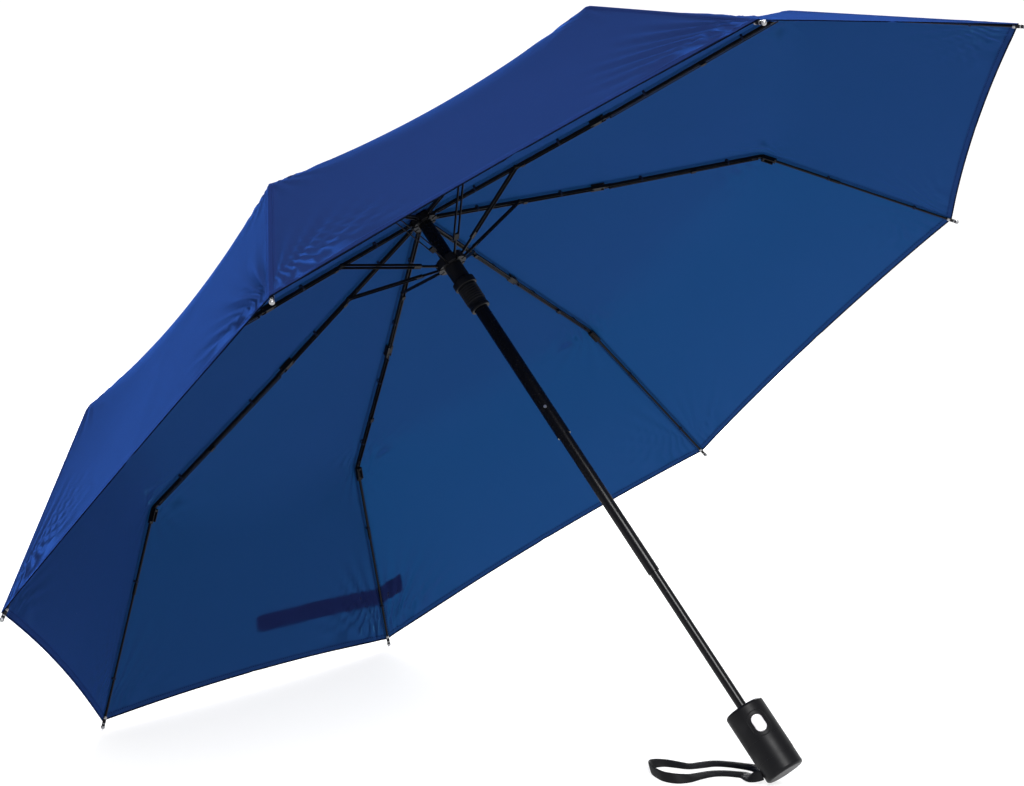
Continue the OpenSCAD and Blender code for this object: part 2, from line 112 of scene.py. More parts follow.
class Maths:
    """A socket in an expression: its operators add Math nodes."""

    def __init__(self, nodes: "NodeBuilder", socket: bpy.types.NodeSocket) -> None:
        """Keep the builder and the socket.

        Args:
            nodes: the builder that adds the Math nodes.
            socket: the output that this value stands for.
        """
        self.nodes = nodes
        self.socket = socket

    def _join(self, operation: str, first: object, second: object = None, third: object = None) -> "Maths":
        """Add one Math node.

        Args:
            operation: the Math node's operation.
            first: first value or link.
            second: second value or link, where there is one.
            third: third value or link, where there is one.

        Returns:
            The node's result.
        """
        values = {i: v for i, v in enumerate((first, second, third)) if v is not None}
        made = self.nodes.add("ShaderNodeMath", {"operation": operation}, values)
        return Maths(self.nodes, made.outputs[0])

    def __add__(self, other: object) -> "Maths":
        """This plus other."""
        return self._join("ADD", self, other)

    __radd__ = __add__

    def __sub__(self, other: object) -> "Maths":
        """This less other."""
        return self._join("SUBTRACT", self, other)

    def __rsub__(self, other: object) -> "Maths":
        """Other less this."""
        return self._join("SUBTRACT", other, self)

    def __mul__(self, other: object) -> "Maths":
        """This times other."""
        return self._join("MULTIPLY", self, other)

    __rmul__ = __mul__

    def __truediv__(self, other: object) -> "Maths":
        """This over other."""
        return self._join("DIVIDE", self, other)

    def __pow__(self, power: object) -> "Maths":
        """This to a power."""
        return self._join("POWER", self, power)

    def __abs__(self) -> "Maths":
        """The size of this."""
        return self._join("ABSOLUTE", self)

    def sine(self) -> "Maths":
        """The sine of this."""
        return self._join("SINE", self)

    def below(self, limit: float, soft: float) -> "Maths":
        """A mask that is 1 under a limit and fades to 0 over a soft edge.

        Args:
            limit: where the mask is half way.
            soft: width of the fade.

        Returns:
            The mask.
        """
        made = self.nodes.add(
            "ShaderNodeMapRange",
            {"interpolation_type": "SMOOTHSTEP"},
            {"Value": self, "From Min": limit - soft / 2, "From Max": limit + soft / 2, "To Min": 1.0, "To Max": 0.0},
        )
        return Maths(self.nodes, made.outputs["Result"])


class NodeBuilder:
    """Builds one material's nodes."""

    def __init__(self, name: str) -> None:
        """Start an empty material.

        Args:
            name: the material's name.
        """
        self.material = bpy.data.materials.new(name)
        self.material.use_nodes = True
        self.tree = self.material.node_tree
        self.tree.nodes.clear()

    def add(self, kind: str, settings: dict | None = None, values: dict | None = None) -> bpy.types.Node:
        """Add a node, set it up, then fill or link its inputs.

        Args:
            kind: the node's type.
            settings: the node's own settings.
            values: numbers, colours, sockets or Maths for its inputs.

        Returns:
            The node.
        """
        node = self.tree.nodes.new(kind)
        for key, value in (settings or {}).items():
            if key == "stops":
                self._ramp(node, value)
            else:
                setattr(node, key, value)
        for key, value in (values or {}).items():
            target = node.inputs[key]
            if isinstance(value, Maths):
                value = value.socket
            if isinstance(value, bpy.types.NodeSocket):
                self.tree.links.new(value, target)
            else:
                target.default_value = value
        return node

    @staticmethod
    def _ramp(node: bpy.types.Node, stops: Sequence[tuple[float, tuple]]) -> None:
        """Set a colour ramp's stops.

        Args:
            node: the ramp.
            stops: position and colour of each stop, in order.
        """
        ramp = node.color_ramp
        while len(ramp.elements) < len(stops):
            ramp.elements.new(1.0)
        for element, (place, colour) in zip(ramp.elements, stops):
            element.position = place
            element.color = colour

    def maths(self, socket: bpy.types.NodeSocket) -> Maths:
        """Wrap a socket for use in expressions."""
        return Maths(self, socket)

    def object_point(self) -> bpy.types.NodeSocket:
        """The point on the surface in Object coordinates."""
        return self.add("ShaderNodeTexCoord").outputs["Object"]

    def map_axes(self, name: str) -> tuple[Maths, Maths]:
        """The two coordinates of a UV map.

        Args:
            name: the UV map's name.

        Returns:
            Its first and second coordinate.
        """
        uv = self.add("ShaderNodeUVMap", {"uv_map": name})
        split = self.add("ShaderNodeSeparateXYZ", None, {0: uv.outputs["UV"]})
        return self.maths(split.outputs["X"]), self.maths(split.outputs["Y"])

    def noise(self, scale: float, detail: float = 3.0, stretch: tuple = (1.0, 1.0, 1.0)) -> Maths:
        """Noise on Object coordinates.

        Args:
            scale: cycles to a metre.
            detail: octaves.
            stretch: scale along each axis.

        Returns:
            The noise, from 0 to 1.
        """
        spot = self.add("ShaderNodeMapping", None, {"Vector": self.object_point(), "Scale": stretch})
        made = self.add("ShaderNodeTexNoise", None, {"Vector": spot.outputs[0], "Scale": scale, "Detail": detail})
        return self.maths(made.outputs[0])

    def blend(self, share: object, first: object, second: object) -> bpy.types.NodeSocket:
        """Mix two colours.

        Args:
            share: how much of the second.
            first: a colour or link.
            second: a colour or link.

        Returns:
            The mixed colour.
        """
        mix = self.add(
            "ShaderNodeMix", {"data_type": "RGBA"}, {"Factor": share, 6: first, 7: second}
        )
        return mix.outputs[2]

    def bump(self, height: object, distance: float, strength: float = 1.0) -> bpy.types.NodeSocket:
        """A bump normal.

        Args:
            height: the height, from 0 to 1.
            distance: metres that 1 stands for.
            strength: share of the effect.

        Returns:
            The normal.
        """
        made = self.add(
            "ShaderNodeBump", None, {"Height": height, "Distance": distance, "Strength": strength}
        )
        return made.outputs[0]

    def surface(self, **values: object) -> bpy.types.Node:
        """Add the main shader.

        Args:
            values: its inputs, with _ for spaces.

        Returns:
            The shader.
        """
        named = {key.replace("_", " "): value for key, value in values.items()}
        return self.add("ShaderNodeBsdfPrincipled", None, named)

    def finish(self, shader: bpy.types.NodeSocket) -> bpy.types.Material:
        """Link the output.

        Args:
            shader: the last shader's output.

        Returns:
            The material.
        """
        self.add("ShaderNodeOutputMaterial", None, {"Surface": shader})
        return self.material


def tone(red: float, green: float, blue: float) -> tuple[float, float, float, float]:
    """A colour with full alpha."""
    return (red, green, blue, 1.0)


# -------------------------------------------------------------------- finishes


@dataclass(frozen=True)
class Metal:
    """Steel, bare or under a thin lacquer, with drawing marks along it."""

    name: str
    colour: tuple
    worn: tuple
    roughness: float
    metallic: float = 1.0
    coat: float = 0.0
    marks: float = 0.00002
    shine: float = 0.5

    def make(self) -> bpy.types.Material:
        """Build the material."""
        nodes = NodeBuilder(self.name)
        cloudy = nodes.noise(90.0, 4.0)
        fine = nodes.noise(1400.0, 2.0)
        scuffs = nodes.noise(420.0, 5.0).below(0.36, 0.1)
        shader = nodes.surface(
            Base_Color=nodes.blend(scuffs * 0.5 + cloudy * 0.25, self.colour, self.worn),
            Roughness=self.roughness + (cloudy - 0.5) * 0.16 + scuffs * 0.12,
            Metallic=self.metallic,
            Coat_Weight=self.coat,
            Coat_Roughness=0.12,
            Specular_IOR_Level=self.shine,
            Normal=nodes.bump(fine, self.marks, 0.5),
        )
        return nodes.finish(shader.outputs[0])


@dataclass(frozen=True)
class Plastic:
    """Moulded plastic with a fine eroded grain and faint rubbed patches."""

    name: str
    colour: tuple
    rubbed: tuple
    roughness: float
    grain: float = 0.00003
    metallic: float = 0.0
    coat: float = 0.0
    shine: float = 0.12

    def make(self) -> bpy.types.Material:
        """Build the material."""
        nodes = NodeBuilder(self.name)
        patches = nodes.noise(60.0, 4.0)
        speck = nodes.noise(2600.0, 2.0)
        shader = nodes.surface(
            Base_Color=nodes.blend(patches.below(0.42, 0.2) * 0.6, self.colour, self.rubbed),
            Roughness=self.roughness + (patches - 0.5) * 0.18 + (speck - 0.5) * 0.08,
            Metallic=self.metallic,
            Coat_Weight=self.coat,
            Coat_Roughness=0.1,
            Specular_IOR_Level=self.shine,
            Normal=nodes.bump(speck, self.grain, 0.45),
        )
        return nodes.finish(shader.outputs[0])


@dataclass(frozen=True)
class Cloth:
    """Close-woven polyester that lets light through, with sewn seams and a bound hem.

    Its UV map has the distance from the seam and from the hem, in metres.
    """

    name: str = "navy_pongee"
    colour: tuple = tone(0.015, 0.024, 0.100)
    deep: tuple = tone(0.010, 0.017, 0.075)
    binding: tuple = tone(0.002, 0.003, 0.006)
    glow: tuple = tone(0.085, 0.34, 0.58)
    passed: float = 0.30
    thread: float = 0.0005
    seam: float = 0.0042
    hem: float = 0.0065
    edge: float = 0.0013
    stitch: float = 0.0026

    def make(self) -> bpy.types.Material:
        """Build the material."""
        nodes = NodeBuilder(self.name)
        across, up = nodes.map_axes("cut")
        turn = 2 * math.pi / self.thread
        weave = (across * turn).sine() * (up * turn).sine()
        side = abs(across)
        seam = side.below(self.seam, 0.0006)
        hem = up.below(self.hem, 0.0006)
        edge = up.below(self.edge, 0.0008)
        doubled = 1 - (1 - seam) * (1 - hem)
        dashes_up = (up * (2 * math.pi / self.stitch)).sine().below(0.3, 0.4)
        dashes_across = (across * (2 * math.pi / self.stitch)).sine().below(0.3, 0.4)
        seam_line = abs(side - self.seam * 0.68).below(0.00035, 0.0003) * dashes_up
        hem_line = abs(up - self.hem * 0.8).below(0.00035, 0.0003) * dashes_across
        stitches = 1 - (1 - seam_line) * (1 - hem_line)
        soft = nodes.noise(9.0, 4.0)
        slubs = nodes.noise(700.0, 3.0)
        body = nodes.blend(soft * 0.5 + slubs * 0.3, self.colour, self.deep)
        body = nodes.blend(doubled * 0.3, body, self.deep)
        body = nodes.blend(1 - (1 - stitches * 0.6) * (1 - edge), body, self.binding)
        height = weave * 0.10 + nodes.noise(60.0, 3.0) * 1.6 + slubs * 0.25 + seam * 1.4 + hem * 1.6 - stitches * 1.2
        normal = nodes.bump(height, 0.00022, 0.8)
        front = nodes.surface(
            Base_Color=body,
            Roughness=0.46 + (soft - 0.5) * 0.12 + doubled * 0.08,
            Sheen_Weight=0.35,
            Sheen_Roughness=0.3,
            Sheen_Tint=tone(0.06, 0.22, 1.0),
            Specular_IOR_Level=0.0,
            Normal=normal,
        )
        through = nodes.add("ShaderNodeBsdfTranslucent", None, {"Color": self.glow})
        share = self.passed * (1 - doubled * 0.22) * (1 - edge) * (1 - stitches * 0.5)
        both = nodes.add("ShaderNodeMixShader", None, {0: share, 1: front.outputs[0], 2: through.outputs[0]})
        return nodes.finish(both.outputs[0])


@dataclass(frozen=True)
class Braid:
    """Plaited or woven narrow tape. Its UV map runs across and along it, in metres."""

    name: str
    colour: tuple
    high: tuple
    # lighter colour: a painted highlight on the plait's crests against painted shade in its hollows, and random fibre
    # fuzz
    pitch: float
    depth: float
    roughness: float = 0.62

    def make(self) -> bpy.types.Material:
        """Build the material."""
        nodes = NodeBuilder(self.name)
        across, along = nodes.map_axes("cut")
        turn = 2 * math.pi / self.pitch
        plait = ((across + along) * turn).sine() * ((along - across) * turn).sine()
        ridge = plait * 0.5 + 0.5
        fuzz = nodes.noise(3200.0, 3.0)
        # painted light: the plait's crests take the lighter colour and its hollows stay dark as painted shade; the
        # fuzz adds random fibre tone
        shader = nodes.surface(
            Base_Color=nodes.blend(ridge * 0.6 + fuzz * 0.4, self.colour, self.high),
            Roughness=self.roughness + (fuzz - 0.5) * 0.2,
            Specular_IOR_Level=0.12,
            Normal=nodes.bump(ridge + fuzz * 0.4, self.depth, 0.7),
        )
        return nodes.finish(shader.outputs[0])


@dataclass(frozen=True)
class Paper:
    """The white sweep that the umbrella lies on, lit through from behind."""

    name: str = "studio_paper"
    colour: tuple = tone(0.34, 0.34, 0.34)
    lit: float = 0.80

    def make(self) -> bpy.types.Material:
        """Build the material."""
        nodes = NodeBuilder(self.name)
        tooth = nodes.noise(500.0, 3.0)
        shader = nodes.surface(
            Base_Color=self.colour, Roughness=0.9, Specular_IOR_Level=0.1,
            Emission_Color=tone(1.0, 1.0, 1.0), Emission_Strength=self.lit,
            Normal=nodes.bump(tooth, 0.00002, 0.4),
        )
        return nodes.finish(shader.outputs[0])


class Wardrobe:
    """Every finish of the umbrella, by slot."""

    def __init__(self) -> None:
        """Make the finishes."""
        self.by_slot = {
            Slot.FRAME: Metal(
                "black_painted_steel", tone(0.003, 0.003, 0.004), tone(0.009, 0.009, 0.010), 0.44, 0.0, 0.0, 0.00002, 0.12
            ),
            Slot.SHAFT: Metal(
                "black_lacquered_tube", tone(0.003, 0.003, 0.004), tone(0.007, 0.007, 0.008), 0.24, 0.0, 0.0, 0.000008, 0.16
            ),
            Slot.BRIGHT: Metal("plated_wire", tone(0.62, 0.62, 0.64), tone(0.42, 0.41, 0.40), 0.28),
            Slot.PLASTIC: Plastic("black_nylon", tone(0.005, 0.005, 0.006), tone(0.011, 0.011, 0.012), 0.44),
            Slot.GRIP: Plastic(
                "satin_grip", tone(0.005, 0.005, 0.006), tone(0.009, 0.009, 0.010), 0.42, 0.00004
            ),
            Slot.BUTTON: Plastic(
                "pearl_lacquer", tone(0.66, 0.64, 0.66), tone(0.52, 0.50, 0.54), 0.28, 0.00001, 0.3, 0.4, 0.5
            ),
            Slot.CLOTH: Cloth(),
            Slot.BRAID: Braid(
                "wrist_braid", tone(0.003, 0.003, 0.004), tone(0.010, 0.010, 0.011), 0.0022, 0.00012
            ),
            Slot.WEBBING: Braid(
                "tie_tape", tone(0.007, 0.011, 0.028), tone(0.016, 0.024, 0.060), 0.0012, 0.00006, 0.55
            ),
        }
        self.by_slot = {slot: finish.make() for slot, finish in self.by_slot.items()}
        self.tips = Plastic(
            "tip_nickel", tone(0.30, 0.30, 0.31), tone(0.20, 0.20, 0.21), 0.32, 0.00001, 0.8, 0.2, 0.5
        ).make()

    def dress(self, thing: bpy.types.Object, slot: Slot) -> None:
        """Give a piece or a CAD node its only material.

        Args:
            thing: the object.
            slot: the slot whose finish it takes.
        """
        thing.data.materials.clear()
        thing.data.materials.append(self.by_slot[slot])


# ------------------------------------------------------------------- the shaft


class Shaft:
    """Where the shaft's frame stands in the row frame."""

    washer_height = 4.2  # the washer's middle above the notch

    def __init__(self, joints: Iterable[dict]) -> None:
        """Take the lean from the runner's travel and the place from the crown's washer.

        Args:
            joints: the record's joints.
        """
        axis = Vector(next(j for j in joints if j["name"] == "runner_slide")["axis"])
        self.lean = math.atan2(-axis.x, axis.z)
        low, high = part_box("crown_washer")
        origin = (low + high) / 2 - axis.normalized() * self.washer_height * MM
        self.matrix = Matrix.Translation(origin) @ Matrix.Rotation(-self.lean, 4, "Y") @ Matrix.Scale(MM, 4)

    def place(self, point: Sequence[float]) -> Vector:
        """A point of the shaft's frame in the row frame."""
        return self.matrix @ Vector(point)

    def rib_matrix(self, rib: int) -> Matrix:
        """The frame of a rib's plane, +X outwards along the rib."""
        return self.matrix @ Matrix.Rotation(math.radians(RIB_STEP * (rib - 0.5)), 4, "Z")

    def across(self, rib: int) -> Vector:
        """The direction square to a rib's plane, in the row frame."""
        return (self.rib_matrix(rib).to_3x3() @ Vector((0, 1, 0))).normalized()


@dataclass(frozen=True)
class Ribs:
    """Hinge points and slopes of one rib, in its plane as (radius, height)."""

    inner_len: float = 168.5
    inner_slope: float = 9.8
    middle_len: float = 169.5
    middle_slope: float = 8.8
    outer_len: float = 193.0
    outer_slope: float = 42.5
    notch: tuple = (9.0, -1.0)
    joint_lift: float = 2.0
    knee_drop: float = 3.0
    knee_lift: float = 2.0
    stretcher_at: float = 84.0

    @staticmethod
    def on_line(start: Sequence[float], slope: float, along: float, above: float) -> Vector:
        """A point beside a sloping line.

        Args:
            start: where the line starts.
            slope: degrees that it falls.
            along: distance along it.
            above: distance above it.

        Returns:
            The point, as (radius, height).
        """
        fall = math.radians(slope)
        return Vector(
            (
                start[0] + along * math.cos(fall) + above * math.sin(fall),
                start[1] - along * math.sin(fall) + above * math.cos(fall),
            )
        )

    def middle_start(self) -> Vector:
        """Start of the middle rib's line."""
        joint = self.on_line(self.notch, self.inner_slope, self.inner_len, self.joint_lift)
        return self.on_line(joint, self.middle_slope, 0, -self.joint_lift)

    def outer_start(self) -> Vector:
        """Start of the outer rib's line."""
        knee = self.on_line(self.middle_start(), self.middle_slope, self.middle_len, -self.knee_drop)
        return self.on_line(knee, self.outer_slope, 0, self.knee_lift)

    def member(self, section: Section) -> tuple[Vector, float]:
        """Start and slope of one section's line."""
        return {
            Section.INNER: (Vector(self.notch), self.inner_slope),
            Section.MIDDLE: (self.middle_start(), self.middle_slope),
            Section.OUTER: (self.outer_start(), self.outer_slope),
        }[section]

    def member_matrix(self, shaft: Shaft, rib: int, section: Section) -> Matrix:
        """The frame of a section, +X along it and +Z towards the cloth.

        Args:
            shaft: the shaft's frame.
            rib: the rib's number.
            section: which of its lengths.

        Returns:
            The matrix to the row frame.
        """
        start, slope = self.member(section)
        return (
            shaft.rib_matrix(rib)
            @ Matrix.Translation((start.x, 0, start.y))
            @ Matrix.Rotation(math.radians(slope), 4, "Y")
        )


# ---------------------------------------------------------------- mesh helpers


class Workbench:
    """Turns bmeshes into pieces."""

    def __init__(self, wardrobe: Wardrobe) -> None:
        """Keep the finishes.

        Args:
            wardrobe: every finish.
        """
        self.wardrobe = wardrobe
        self.count = 0

    def piece(self, name: str, shape: bmesh.types.BMesh, slot: Slot, body: str, sharp: float = 40.0) -> bpy.types.Object:
        """Make a finished object that rides on a body.

        Args:
            name: the piece's name.
            shape: its mesh in the row frame, in metres. It is freed here.
            slot: its slot and finish.
            body: the body it rides on.
            sharp: edges steeper than this many degrees stay sharp.

        Returns:
            The object.
        """
        mesh = bpy.data.meshes.new(name)
        for face in shape.faces:
            face.smooth = True
        shape.to_mesh(mesh)
        shape.free()
        mesh.set_sharp_from_angle(angle=math.radians(sharp))
        thing = bpy.data.objects.new(name, mesh)
        bpy.context.scene.collection.objects.link(thing)
        self.wardrobe.dress(thing, slot)
        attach(thing, body)
        self.count += 1
        LOG.info("%s rides on %s, %d faces", name, body, len(mesh.polygons))
        return thing

    @staticmethod
    def lathe(profile: Profile, matrix: Matrix, steps: int = 64) -> bmesh.types.BMesh:
        """Spin a profile round the Z axis.

        Args:
            profile: (radius, height) points from one end to the other.
            matrix: takes the result to the row frame.
            steps: sides of the round.

        Returns:
            The closed shape.
        """
        shape = bmesh.new()
        Workbench.add_lathe(shape, profile, matrix, steps)
        return shape

    @staticmethod
    def add_lathe(shape: bmesh.types.BMesh, profile: Profile, matrix: Matrix, steps: int = 64) -> None:
        """Add a spun profile to a shape.

        Args:
            shape: the shape that it joins.
            profile: (radius, height) points from one end to the other.
            matrix: takes the result to the row frame.
            steps: sides of the round.
        """
        part = bmesh.new()
        corners = [part.verts.new((radius, 0.0, height)) for radius, height in profile]
        edges = [part.edges.new(pair) for pair in zip(corners, corners[1:])]
        bmesh.ops.spin(
            part, geom=corners + edges, cent=(0, 0, 0), axis=(0, 0, 1), angle=2 * math.pi,
            steps=steps, use_merge=True, use_duplicate=False,
        )
        bmesh.ops.remove_doubles(part, verts=part.verts, dist=1e-5)
        bmesh.ops.recalc_face_normals(part, faces=part.faces)
        bmesh.ops.transform(part, matrix=matrix, verts=part.verts)
        Workbench.join(shape, part)

    @staticmethod
    def join(shape: bmesh.types.BMesh, part: bmesh.types.BMesh) -> None:
        """Add a part's mesh to a shape and free the part.

        Args:
            shape: the shape that grows.
            part: the part.
        """
        held = bpy.data.meshes.new("held")
        part.to_mesh(held)
        part.free()
        shape.from_mesh(held)
        bpy.data.meshes.remove(held)

    @staticmethod
    def arc(centre: tuple[float, float], radius: float, start: float, end: float, steps: int = 6) -> list[tuple[float, float]]:
        """Points of an arc in a profile.

        Args:
            centre: its centre.
            radius: its radius.
            start: first angle in degrees.
            end: last angle in degrees.
            steps: pieces it is cut into.

        Returns:
            The points in order.
        """
        turns = [math.radians(start + (end - start) * n / steps) for n in range(steps + 1)]
        return [(centre[0] + radius * math.cos(t), centre[1] + radius * math.sin(t)) for t in turns]

    @staticmethod
    def oval(radius: float, half: float, sides: int = 48) -> bmesh.types.BMesh:
        """A flat long-sided oval face, with its long side along X.

        Args:
            radius: radius of its round ends.
            half: half the distance between their centres.
            sides: corners of the outline.

        Returns:
            The shape, with one face that looks up +Z.
        """
        shape = bmesh.new()
        bmesh.ops.create_circle(shape, cap_ends=True, radius=radius, segments=sides)
        for vert in shape.verts:
            vert.co.x += math.copysign(half, vert.co.x)
        bmesh.ops.recalc_face_normals(shape, faces=shape.faces)
        if shape.faces[:][0].normal.z < 0:
            bmesh.ops.reverse_faces(shape, faces=shape.faces)
        return shape

    @staticmethod
    def raise_face(shape: bmesh.types.BMesh, face: bmesh.types.BMFace, height: float) -> bmesh.types.BMFace:
        """Extrude a face straight up.

        Args:
            shape: the shape it is in.
            face: the face.
            height: how far it goes.

        Returns:
            The raised face.
        """
        grown = bmesh.ops.extrude_face_region(shape, geom=[face])["geom"]
        top = next(g for g in grown if isinstance(g, bmesh.types.BMFace))
        bmesh.ops.translate(shape, vec=(0, 0, height), verts=top.verts[:])
        return top


# ---------------------------------------------------------------------- canopy


@dataclass
class Canopy:
    """One continuous cloth over eight ribs, cut where the ribs fold."""

    ribs: Ribs = field(default_factory=Ribs)
    lift: float = 4.5          # outer face above the ribs
    knee_lift: float = 4.3
    hem_lift: float = 2.2
    start: float = -2.0
    tip_show: float = 5.0      # rib tip past the hem
    scallop: float = 6.0
    dish: float = 5.0
    thick: float = 0.35
    hem_thick: float = 0.8
    hem_width: float = 7.0
    rib_round: float = 8.0     # length over which the knee rounds at a rib
    gore_round: float = 44.0   # and in the middle of a gore
    seam_high: float = 0.35
    columns: tuple = (
        0.0, 0.008, 0.016, 0.026, 0.040, 0.056, 0.074, 0.094, 0.116, 0.140, 0.167, 0.197, 0.23,
        0.266, 0.305, 0.348, 0.395, 0.446, 0.50, 0.56, 0.625, 0.69, 0.76, 0.83, 0.90, 0.955, 1.0,
    )
    rows: dict = field(default_factory=lambda: {Section.INNER: 18, Section.MIDDLE: 20, Section.OUTER: 32})
    puckers: tuple = (0.95, 0.60, 0.70, 1.70, 0.75, 1.10, 1.60, 2.10)  # strength of the gathers at each tip
    pucker_waves: float = 30.0
    pucker_reach: float = 120.0
    knee_puckers: float = 0.40

    def __post_init__(self) -> None:
        """Work out the line that the cloth follows over a rib."""
        ribs = self.ribs
        start, slope = ribs.member(Section.INNER)
        crown = ribs.on_line(start, slope, self.start, self.lift)
        joint = ribs.on_line(start, slope, ribs.inner_len, self.lift)
        knee = ribs.on_line(*ribs.member(Section.MIDDLE), ribs.middle_len + 1, self.knee_lift)
        hem = ribs.on_line(*ribs.member(Section.OUTER), ribs.outer_len - self.tip_show, self.hem_lift)
        self.corners = [crown, joint, knee, hem]
        lengths = [(b - a).length for a, b in zip(self.corners, self.corners[1:])]
        self.ends = [0.0, lengths[0], lengths[0] + lengths[1], sum(lengths)]

    def span(self, section: Section) -> tuple[float, float]:
        """Where a section of cloth starts and ends along the rib."""
        at = list(Section).index(section)
        return self.ends[at], self.ends[at + 1]

    def line(self, s: float, rounding: float) -> tuple[Vector, Vector]:
        """The cloth's line over a rib.

        Args:
            s: distance from its start.
            rounding: length each side of the knee that is rounded.

        Returns:
            The point and the direction outwards, as (radius, height).
        """
        at = 0 if s <= self.ends[1] else 1 if s <= self.ends[2] else 2
        first, last = self.corners[at], self.corners[at + 1]
        way = (last - first).normalized()
        away = s - self.ends[2]
        if abs(away) < rounding:
            before = (self.corners[2] - self.corners[1]).normalized()
            after = (self.corners[3] - self.corners[2]).normalized()
            t = (away + rounding) / (2 * rounding)
            corner = self.corners[2]
            point = (
                (1 - t) ** 2 * (corner - before * rounding)
                + 2 * t * (1 - t) * corner
                + t ** 2 * (corner + after * rounding)
            )
            return point, before.lerp(after, t).normalized()
        return first + way * (s - self.ends[at]), way

    @staticmethod
    def ease(x: float) -> float:
        """A smooth step from 0 at 0 to 1 at 1."""
        x = min(1.0, max(0.0, x))
        return x * x * (3 - 2 * x)

    def gathers(self, rib: int, side: int, s: float, off: float) -> float:
        """How far the gathers at a tip and a knee lift the cloth.

        Args:
            rib: the rib's number.
            side: -1 or 1, the side of the rib.
            s: distance from the cloth's start.
            off: distance off the rib.

        Returns:
            The lift.
        """
        clear = self.ease(off / 7.0)
        down = self.ends[3] - s
        far = math.hypot(off, down)
        turn = math.atan2(off, max(down, 0.01))
        phase = 1.7 * rib + (0.9 if side > 0 else 0.0)
        fade = self.ease(far / 26.0) * (1 - self.ease((far - 34.0) / (self.pucker_reach - 34.0)))
        wave = math.sin(self.pucker_waves * turn + phase + 0.018 * far) + 0.45 * math.sin(
            17.0 * turn - 1.3 * phase
        )
        tip = self.puckers[rib - 1] * 0.62 * fade * wave * (0.35 + 0.65 * self.ease(down / 14.0))
        away = s - self.ends[2]
        near = math.hypot(off, away * 1.25)
        spread = math.atan2(off, abs(away) + 6.0) * (1 if away > 0 else -1)
        knee = (
            self.knee_puckers
            * self.ease(near / 15.0)
            * (1 - self.ease((near - 20.0) / 55.0))
            * math.sin(20.0 * spread + phase)
        )
        return clear * (tip + knee)

    def point(self, rib: int, side: int, a: float, s: float) -> Vector:
        """A point on the outside of the cloth, in the frame of a rib's plane.

        Args:
            rib: the rib's number.
            side: -1 or 1, the side of the rib.
            a: 0 at the rib to 1 half way to the next.
            s: distance from the cloth's start.

        Returns:
            The point.
        """
        middle = 1 - (1 - a) ** 2
        total = self.ends[3]
        pull = self.scallop * middle * self.ease((s - self.ends[2]) / (total - self.ends[2]))
        rounding = self.rib_round + (self.gore_round - self.rib_round) * middle
        spot, way = self.line(s - pull, rounding)
        up = Vector((-way.y, way.x))
        share = min(1.0, max(0.0, s / total))
        sag = self.dish * middle * math.sin(math.pi * share ** 1.23)
        off = a * spot.x * math.sin(HALF_GORE)
        ridge = self.seam_high * (1 - self.ease(off / 3.0)) * self.ease(spot.x / 60.0)
        lifted = spot + up * (self.gathers(rib, side, s, off) + ridge - sag)
        x = lifted.x * math.cos(HALF_GORE)
        y = -side * (1 - a) * spot.x * math.sin(HALF_GORE)
        turn = side * HALF_GORE
        return Vector(
            (x * math.cos(turn) - y * math.sin(turn), x * math.sin(turn) + y * math.cos(turn), lifted.y)
        )

    def normal(self, rib: int, side: int, a: float, s: float) -> Vector:
        """The outward direction of the cloth at a point.

        Args:
            rib: the rib's number.
            side: -1 or 1, the side of the rib.
            a: 0 at the rib to 1 half way to the next.
            s: distance from the cloth's start.

        Returns:
            The direction, in the frame of the rib's plane.
        """
        step, turn = 0.004, 0.4
        low_a, high_a = max(0.0, a - step), min(1.0, a + step)
        low_s, high_s = max(0.0, s - turn), min(self.ends[3], s + turn)
        along = self.point(rib, side, a, high_s) - self.point(rib, side, a, low_s)
        over = (self.point(rib, side, high_a, s) - self.point(rib, side, low_a, s)) * side
        out = along.cross(over).normalized()
        if a == 0.0:
            out.y = 0.0
        if a == 1.0:
            middle = Vector((math.cos(side * HALF_GORE), math.sin(side * HALF_GORE), 0))
            tangent = Vector((-middle.y, middle.x, 0))
            out -= tangent * out.dot(tangent)
        return out.normalized()

    def strip(self, bench: Workbench, shaft: Shaft, rib: int, section: Section) -> bpy.types.Object:
        """Make one section of cloth, half a gore each side of its rib.

        Args:
            bench: makes the piece.
            shaft: the shaft's frame.
            rib: the rib's number.
            section: which length of the rib it lies on.

        Returns:
            The piece.
        """
        first, last = self.span(section)
        count = self.rows[section]
        stations = [first + (last - first) * n / count for n in range(count + 1)]
        if section is Section.OUTER:
            stations[-2] = last - self.hem_width * 0.5
            stations[-3] = last - self.hem_width
        over = [(-1, a) for a in reversed(self.columns[1:])] + [(1, a) for a in self.columns]
        matrix = shaft.rib_matrix(rib)
        turn = matrix.to_3x3().normalized()
        shape = bmesh.new()
        cut = shape.loops.layers.uv.new("cut")
        layer = shape.faces.layers.int.new("layer")
        bmesh.ops.create_grid(shape, x_segments=len(over) - 1, y_segments=count, size=1.0)
        facing: dict[bmesh.types.BMVert, Vector] = {}
        spread: dict[bmesh.types.BMVert, tuple[float, float]] = {}
        grid: dict[tuple[int, int], bmesh.types.BMVert] = {}
        under: dict[tuple[int, int], bmesh.types.BMVert] = {}
        for vert in shape.verts[:]:
            i = round((vert.co.y + 1) / 2 * count)
            j = round((vert.co.x + 1) / 2 * (len(over) - 1))
            side, a = over[j]
            s = stations[i]
            spot, out = self.point(rib, side, a, s), self.normal(rib, side, a, s)
            half = self.line(s, 0.0)[0].x * math.sin(HALF_GORE)
            vert.co = matrix @ spot
            grid[i, j] = under[i, j] = vert
            facing[vert] = turn @ out
            spread[vert] = (side * a * half * MM, (self.ends[3] - s) * MM)
            hem = section is Section.OUTER and i == count
            if j in (0, len(over) - 1) or i == 0 or (i == count and not hem):
                continue
            near_hem = self.ease((s - last + self.hem_width * 1.4) / (self.hem_width * 0.6))
            depth = self.thick
            if section is Section.OUTER:
